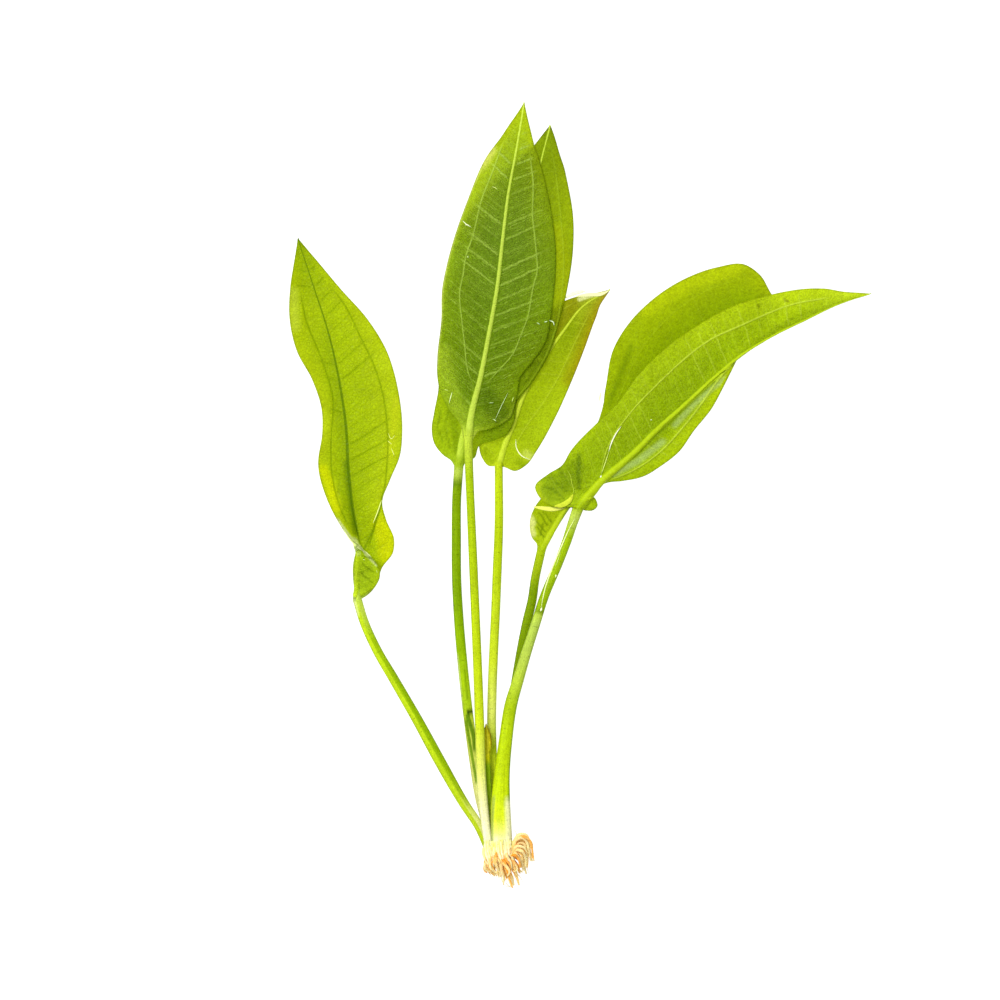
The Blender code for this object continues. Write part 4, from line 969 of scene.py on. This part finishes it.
def root_tube(points, thick, thin, flat, seed, stations=26, sides=14):
    """The skin of one tapered, wrinkled, slightly flat root."""
    rng = np.random.default_rng(seed)
    path = curve(points, np.linspace(0, 1, stations))
    tangent = unit(np.gradient(path, axis=0))
    side = unit(np.cross(tangent, (0.15, 0.1, 1)))
    up = np.cross(side, tangent)
    share = np.linspace(0, 1, stations)
    turn = np.arange(sides) * 2 * math.pi / sides
    twist = rng.uniform(0, math.pi) + share * rng.uniform(-1.5, 1.5)
    ripple = 1 + 0.10 * np.sin(share * rng.uniform(14, 24) + rng.uniform(0, 6)) * (1 - share * 0.3)
    radius = (thick + (thin - thick) * share**1.4) * ripple
    lobes = (1 + 0.10 * np.sin(3 * turn[None] + rng.uniform(0, 6) + 2 * share[:, None])
             + 0.06 * np.sin(5 * turn[None] + 3 * share[:, None]))
    c, s = np.cos(turn[None] + twist[:, None]), np.sin(turn[None] + twist[:, None])
    a = (radius[:, None] * lobes * c)[..., None]
    b = (radius[:, None] * lobes * s * (1 - flat * share[:, None]))[..., None]
    rings = path[:, None] + side[:, None] * a + up[:, None] * b
    rings[..., 2] = np.maximum(rings[..., 2], LOWEST)
    return ring_skin(path, rings, turn, path[0], path[-1] + tangent[-1] * thin * 0.8)


def root_tint(share, base, tip):
    """Colours from the base of a root to its tip."""
    blend = np.clip(share[:, None] * 1.6, 0, 1)
    return rgb(*base) * (1 - blend) + rgb(*tip) * blend


def joined(tubes):
    """The tubes as one mesh, with what is known at each point."""
    points, faces, start = [], [], 0
    for tube in tubes:
        faces += [tuple(i + start for i in f) for f in outward(tube[0], tube[1])]
        points.append(tube[0])
        start += len(tube[0])
    run, turn, share = (np.concatenate([t[k] for t in tubes]) for k in (2, 3, 4))
    return np.concatenate(points), faces, run, turn, share


def add_tubes(name, tubes, material, tones, node=None):
    points, faces, run, turn, share = joined(tubes)
    tint = np.concatenate([root_tint(t[4], *tones[i % len(tones)]) for i, t in enumerate(tubes)])
    piece = add_object(name, points, faces, material, dict(run=run, turn=turn), tint)
    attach(piece, "root")
    if node:
        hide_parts(node)


for name in LEAVES:
    add_leaf(name, leaf_material(name + "_tissue", LOOKS[name]))

root_skin = root_material("root_tissue")
PEACH = ((255, 184, 84), (255, 224, 144))
CREAM = ((255, 206, 120), (255, 240, 176))
BROWN = ((248, 150, 30), (255, 192, 90))
for number, points in enumerate(ROOTS, 1):
    tube = root_tube(points, 0.75, 0.26, 0.45, number)
    add_tubes(f"root_{number:02d}_skin", [tube], root_skin, ((PEACH, CREAM)[number % 2],),
              f"root_{number:02d}")

crown_line = ((-25.6, -113.2, 4.9), (-25.6, -114.2, 4.9), (-25.6, -115.6, 4.9), (-25.7, -117.2, 4.8))
crown = root_tube(crown_line, 3.2, 2.0, 0.0, 51, stations=40, sides=48)
add_tubes("crown_skin", [crown], root_material("crown_tissue", share=0.25),
          (((255, 220, 140), (236, 160, 50)),), "crown")

# Short root ends packed between and in front of the ten long ones.
STUBS = (
    ((-20.8, -113.6, 6.8), (-19.9, -110.2, 7.9), (-18, -109.2, 7.8), (-16.2, -110.4, 7),
     (-15.6, -113.4, 6), (-15.2, -116.2, 5.2)),
    ((-20.6, -114.4, 6.2), (-19.2, -111.8, 6.8), (-17.6, -111.6, 6.2), (-16.6, -114, 5.2),
     (-16.2, -117.6, 4.4)),
    ((-20.8, -115, 7.2), (-19.6, -113.2, 7.6), (-18.4, -113.8, 7.2), (-17.6, -116, 6.4),
     (-17.2, -119, 5.6)),
    ((-21, -115.6, 7.6), (-20, -114.4, 8), (-18.9, -115.4, 7.6), (-18.4, -118, 6.8)),
    ((-20.4, -113.2, 4.8), (-18.8, -110.6, 5.2), (-17, -110.2, 4.6), (-16, -112.4, 3.8),
     (-15.8, -115.8, 3)),
    ((-27.2, -114.4, 7.4), (-27.4, -115.8, 8.3), (-26.8, -117.4, 8.4), (-25.8, -118.8, 7.8)),
    ((-25.4, -114.4, 7.6), (-25.9, -115.8, 8.6), (-25.6, -118, 8.8), (-24.8, -119.8, 7.8)),
    ((-23.8, -114.4, 7.6), (-23.4, -115.8, 8.7), (-22.8, -118, 8.8), (-22.6, -120.2, 7.8)),
    ((-22.2, -114.2, 7.4), (-21.2, -115.4, 8.4), (-20.6, -117.6, 8.2)),
    ((-24.6, -116.4, 8.8), (-24.2, -118.6, 8.6), (-23.4, -121.4, 7.2), (-23, -123.6, 6)),
    ((-23.6, -117, 8.2), (-22.8, -119.6, 7.8), (-22, -122.4, 6.4), (-21, -125, 5.2)),
    ((-21.6, -116.4, 8), (-20.6, -118.8, 7.6), (-20, -121.4, 6.2)),
    ((-28, -114.4, 7.6), (-29, -116, 7.8), (-29.6, -117.8, 7.2), (-29.2, -119.6, 6.2),
     (-28, -120.8, 5.2)),
    ((-27.8, -115.4, 8.4), (-28.2, -117, 8.6), (-27.6, -118.6, 8.2), (-26.6, -119.8, 7.4)),
    ((-26.6, -115.4, 8.8), (-26.6, -117.6, 8.6), (-26, -119.8, 7.6), (-25.6, -121.8, 6.6)),
    ((-27.4, -116.6, 6.4), (-27.6, -118.6, 6.8), (-27, -120.4, 6)),
    ((-23, -117.2, 7.2), (-22.4, -119.4, 6.9), (-21.8, -121.4, 6)),
    ((-21.4, -115.6, 7), (-19.6, -115.4, 7), (-18.6, -117.2, 6.2), (-18.2, -119.6, 5.2)),
    ((-21.2, -114.4, 7.4), (-19.8, -112.6, 7.9), (-18, -112.4, 7.4), (-17, -114.6, 6.4)),
    ((-23.8, -117.4, 4.6), (-23.4, -120, 4.2), (-22.8, -122.4, 3.4)),
    ((-21.6, -116.8, 4.4), (-19.8, -119, 4), (-18.4, -121.4, 3)),
    ((-26.4, -117.2, 5.6), (-26.6, -119.4, 5.2), (-25.8, -121.6, 4.2)),
    ((-22.4, -115, 6.6), (-21, -116, 7.4), (-20.2, -117.6, 7.2), (-20.4, -119.2, 6.4)),
    ((-22, -116.6, 7.6), (-20.8, -117.6, 7.8), (-21, -119.2, 7.4), (-22.2, -119.8, 7)),
    ((-22, -115.6, 5.6), (-20.2, -116.8, 5.8), (-19, -118.8, 5.2), (-18.6, -120.4, 4.4)),
    ((-23.8, -116.4, 8.6), (-22.6, -117.4, 8.9), (-22.2, -118.8, 8.6), (-23, -119.8, 8)),
)
strands, tones = [], []
for i, points in enumerate(STUBS):
    rng = np.random.default_rng(300 + i)
    for j in range(STRANDS):
        shift = np.array(points) + rng.normal(0, (0.5, 0.4, 0.35)) * (j > 0)
        shift[1:] += np.cumsum(rng.normal(0, 0.26, (len(points) - 1, 3)), axis=0)
        strands.append(root_tube(shift, 0.62 - 0.1 * j, 0.2, 0.55, 80 + 7 * i + j, 22, 10))
        tones.append((CREAM, PEACH, BROWN)[(i + 2 * j) % 3] if j else (BROWN if i > 21 else CREAM))
add_tubes("root_stubs", strands, root_skin, tones)

# Frayed strips where the leaf sheaths end over the crown: long on the left, short on the right.
STRAW = (((246, 246, 160), (255, 236, 184)), ((242, 244, 140), (252, 208, 130)),
         ((252, 248, 190), (255, 244, 204)))
fray, fray_tones = [], []
rng = np.random.default_rng(11)
for i in range(FRAY):
    x = -30.2 + 9.3 * (i + rng.uniform(-0.4, 0.4)) / (FRAY - 1)
    top = 8.2 if x < -28 else 7.2 + 1.5 * math.sqrt(max(1 - ((x + 24.6) / 3.4) ** 2, 0))
    left = (-21 - x) / 8.4
    end = -114.2 - 3.6 * left - rng.uniform(0, 1.4)
    lean = 1.6 * left + rng.uniform(-0.3, 0.3)
    start = rng.uniform(-113, -109.6)
    ys = start + (end - start) * np.array([0, 0.35, 0.6, 0.85, 1])
    xs = (x, x, x + 0.3 * lean, x + 0.8 * lean, x + lean)
    zs = (top - 0.25, top, top + 0.3, top + 0.4, top + 0.1)
    fray.append(root_tube(list(zip(xs, ys, zs)), 0.5, 0.2, 0.5, 700 + i, 24, 8))
    fray_tones.append(STRAW[i % 3])
add_tubes("sheath_fray", fray, root_material("fray_tissue", (248, 222, 140), 0.3, 0.25), fray_tones)

# Thin side roots and loose hairs.
HAIRS = (
    ((-24.6, -121, 5), (-24.3, -123.6, 3.6), (-22.8, -125.4, 2.4), (-21.4, -125, 2), (-21, -122.8, 3)),
    ((-23, -124.4, 3), (-21.8, -125.6, 2), (-20.4, -126, 1.4)),
    ((-28.8, -120.6, 4.6), (-27.6, -122, 3.6), (-26.2, -122.4, 3)),
    ((-29.2, -118.8, 6), (-30, -120.4, 5), (-29.6, -122, 4)),
    ((-20, -120.6, 5), (-18.6, -122.2, 4.2), (-17.6, -124, 3.4)),
    ((-16.8, -118.6, 3), (-16, -120.4, 2.4), (-15.6, -121.6, 2)),
    ((-19.6, -109, 7.6), (-20, -107.6, 8), (-20.8, -106.8, 8.2)),
)
hairs = [root_tube(p, 0.13, 0.06, 0.0, 140 + i, 22, 6) for i, p in enumerate(HAIRS)]
add_tubes("root_hairs", hairs, root_skin, (((250, 226, 180), (255, 244, 214)),))


def raised_strip(leaf, points, half, lift=0.16, thick=0.16, blunt=0.6):
    """The skin of a narrow raised strip on a leaf (a roll, a scar, or a pale painted highlight): a flat
    band that tapers at both ends.
    """
    skin = SKINS[leaf]
    share = np.linspace(0, 1, STRIP_STATIONS)
    path = curve([(x, y, 0) for x, y in points], share)
    apart = np.hypot(path[:, None, 0] - skin[None, :, 0], path[:, None, 1] - skin[None, :, 1])
    near = np.argmin(apart, axis=1)
    level = np.maximum(skin[near, 2], np.median(skin[near, 2]) - 0.6)
    level = np.maximum(level, (np.roll(level, 1) + np.roll(level, -1)) / 2)
    path[:, 2] = np.convolve(np.pad(level, 3, mode="edge"), np.ones(7) / 7, mode="valid") + lift
    tangent = unit(np.gradient(path, axis=0))
    side = unit(np.cross(tangent, (0, 0, 1)))
    up = np.cross(side, tangent)
    taper = np.maximum(np.sin(math.pi * np.clip(share, 0.01, 0.99)), 0.02) ** blunt
    turn = np.arange(STRIP_SIDES) * 2 * math.pi / STRIP_SIDES
    a = (half * taper[:, None] * np.cos(turn))[..., None]
    b = (thick * np.sqrt(taper)[:, None] * np.sin(turn))[..., None] + 0.12 * half * taper[:, None, None]
    rings = path[:, None] + side[:, None] * a + up[:, None] * b
    return ring_skin(path, rings, turn, path[0] - tangent[0] * 0.05, path[-1] + tangent[-1] * 0.05)


# Rolled edges, folds, scratches and painted highlights (pale glints and gloss streaks) of each leaf:
# line of points, half width, colour.
FOLDS_AND_HIGHLIGHTS = {
    "left_leaf": (
        (((-75, -11), (-73.2, -14), (-70.6, -16.6), (-67.8, -18.5), (-65.4, -21.4), (-64.3, -24.8)),
         0.24, (238, 248, 176)),
        (((-71.8, -15.4), (-70.4, -18), (-68.4, -20.8)), 0.85, (214, 232, 140)),
        (((-62.9, -1.6), (-64.2, -5.5), (-65.6, -9)), 0.2, (232, 242, 140)),
        # wrinkles near the right margin, coloured pale as painted highlights
        (((-60.8, 19.8), (-59.8, 18), (-58.6, 19.2)), 0.13, (236, 244, 130)),
        (((-61, 17.4), (-59.6, 16.2)), 0.12, (236, 244, 130)),
        (((-59.8, 15), (-58.8, 12.6)), 0.14, (236, 244, 130)),
    ),
    "front_centre_leaf": (
        (((-37, 87.9), (-35.8, 86.7), (-34.2, 85.8)), 0.16, (236, 244, 196)),
        (((-36.2, 86.4), (-35, 86.6)), 0.12, (236, 244, 196)),
        (((-27.6, 98.7), (-26.6, 98.4), (-25.8, 97.8)), 0.14, (206, 222, 120)),
        (((-35.5, 76.3), (-35, 76.2)), 0.3, (196, 220, 130)),
        (((-40.3, 33), (-40.8, 31.2), (-41.3, 29.4)), 0.15, (226, 240, 170)),
        (((-42.8, 33.8), (-41.6, 33.4)), 0.12, (214, 232, 120)),
        (((-22.4, 32.8), (-24.4, 28.8), (-26.6, 24)), 0.12, (196, 220, 150)),
        (((-27.2, 24.4), (-26.2, 23.6)), 0.16, (206, 228, 160)),
        # painted highlights: these five strips are pale glints
        (((-28.6, 29.4), (-27, 29.6)), 0.12, (186, 212, 140)),
        (((-13.2, 55.2), (-12.2, 54.6)), 0.14, (190, 216, 160)),
        (((-10.8, 55.4), (-9.8, 55.6)), 0.16, (206, 228, 180)),
        (((-9.2, 55.9), (-8, 55.4), (-7.6, 54.2)), 0.18, (214, 232, 190)),
        (((-21.2, 29.8), (-20.6, 31.4)), 0.14, (206, 226, 120)),
    ),
    "right_centre_leaf": (
        (((-0.6, 63.7), (4, 64.2), (7.6, 64.4), (10, 65.5)), 0.62, (236, 238, 176)),
        (((-4.2, 63.1), (-1.6, 64.6), (2.4, 65.4)), 0.7, (238, 242, 206)),
        (((-19.9, 17.9), (-19.8, 15.4), (-18.2, 12.7), (-15.2, 11.2)), 0.17, (248, 250, 206)),
    ),
    "front_right_leaf": (
        (((-7.6, -3.6), (-4.8, -3.1), (-2.8, -1.8), (-1.6, 0.2)), 0.85, (204, 216, 54)),
        (((-3.6, 8.2), (-2.4, 6), (-2, 3.6), (-1.4, 1.6), (-1.7, -0.2)), 0.11, (196, 218, 66)),
        (((13.8, 22), (12, 19.4), (10.5, 16.2), (9.8, 13.8)), 0.2, (252, 254, 226)),
        (((9.9, 14), (8.6, 10), (7.4, 6.6)), 0.13, (226, 240, 130)),
        (((7.5, 6.2), (7.1, 5.6)), 0.3, (250, 254, 220)),
        (((23.2, 24), (23.6, 24.2)), 0.2, (236, 246, 190)),
        # painted highlights: a gloss streak down the stalk's left side, a fainter one beside it and two
        # glints
        (((-0.9, -7.4), (-2.4, -10), (-5.4, -16.6), (-8.5, -23.9), (-10.9, -31.2), (-11.9, -36.4)),
         0.24, (244, 252, 180)),
        (((-5.6, -18.4), (-7.2, -23)), 0.1, (226, 242, 130)),
        (((-7, -25.4), (-7.3, -26.4)), 0.22, (240, 250, 190)),
        (((-11.6, -36), (-12, -37.2)), 0.28, (246, 252, 210)),
    ),
    "back_right_leaf": (
        (((-14.4, -3.8), (-11.5, -4.2), (-8.5, -4.5), (-5.5, -4.2), (-2.9, -3.6)), 0.72,
         (234, 236, 112)),
        (((7.2, 33), (6.9, 30)), 0.22, (236, 244, 160)),
    ),
}
fold_and_highlight_skin = root_material("fold_and_highlight_tissue", (206, 220, 60), 0.3, 0.3)
for name, strips in FOLDS_AND_HIGHLIGHTS.items():
    bands = [raised_strip(name, points, half) for points, half, _ in strips]
    add_tubes(name + "_raised_strips", bands, fold_and_highlight_skin, [(tone, tone) for *_, tone in strips])


def add_floor(half=2.5, level=-0.0001):
    material = bpy.data.materials.new("pale_floor")
    material.use_nodes = True
    shader = material.node_tree.nodes["Principled BSDF"]
    shader.inputs["Base Color"].default_value = (0.2, 0.2, 0.2, 1)
    shader.inputs["Roughness"].default_value = 0.9
    shader.inputs["Specular IOR Level"].default_value = 0.0
    shader.inputs["Emission Color"].default_value = (1, 1, 1, 1)
    shader.inputs["Emission Strength"].default_value = FLOOR_GLOW
    mesh = bpy.data.meshes.new("floor")
    corners = [(x * half, y * half, level) for x, y in ((-1, -1), (1, -1), (1, 1), (-1, 1))]
    mesh.from_pydata(corners, [], [(0, 1, 2, 3)])
    mesh.materials.append(material)
    floor = bpy.data.objects.new("floor", mesh)
    bpy.context.scene.collection.objects.link(floor)
    floor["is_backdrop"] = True


add_floor()
world = bpy.data.worlds.new("studio")
world.use_nodes = True
world.node_tree.nodes["Background"].inputs[0].default_value = (1, 1, 1, 1)
world.node_tree.nodes["Background"].inputs[1].default_value = SKY
bpy.context.scene.world = world

key = bpy.data.lights.new("key", "AREA")
key.shape, key.size, key.energy = "DISK", KEY_SIZE, KEY_POWER
lamp = bpy.data.objects.new("key", key)
lamp.location = KEY_PLACE
lamp.rotation_euler = Vector(-np.array(KEY_PLACE)).to_track_quat("-Z", "Y").to_euler()
bpy.context.scene.collection.objects.link(lamp)

camera_data = bpy.data.cameras.new("camera")
camera_data.lens, camera_data.sensor_width = LENS, SENSOR
camera = bpy.data.objects.new("camera", camera_data)
camera.location = CAMERA_PLACE
bpy.context.scene.collection.objects.link(camera)
bpy.context.scene.camera = camera
bpy.context.scene.view_settings.view_transform = "Standard"

new_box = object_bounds()
{"cad": [list(v) for v in cad_box], "visual": [list(v) for v in new_box]}
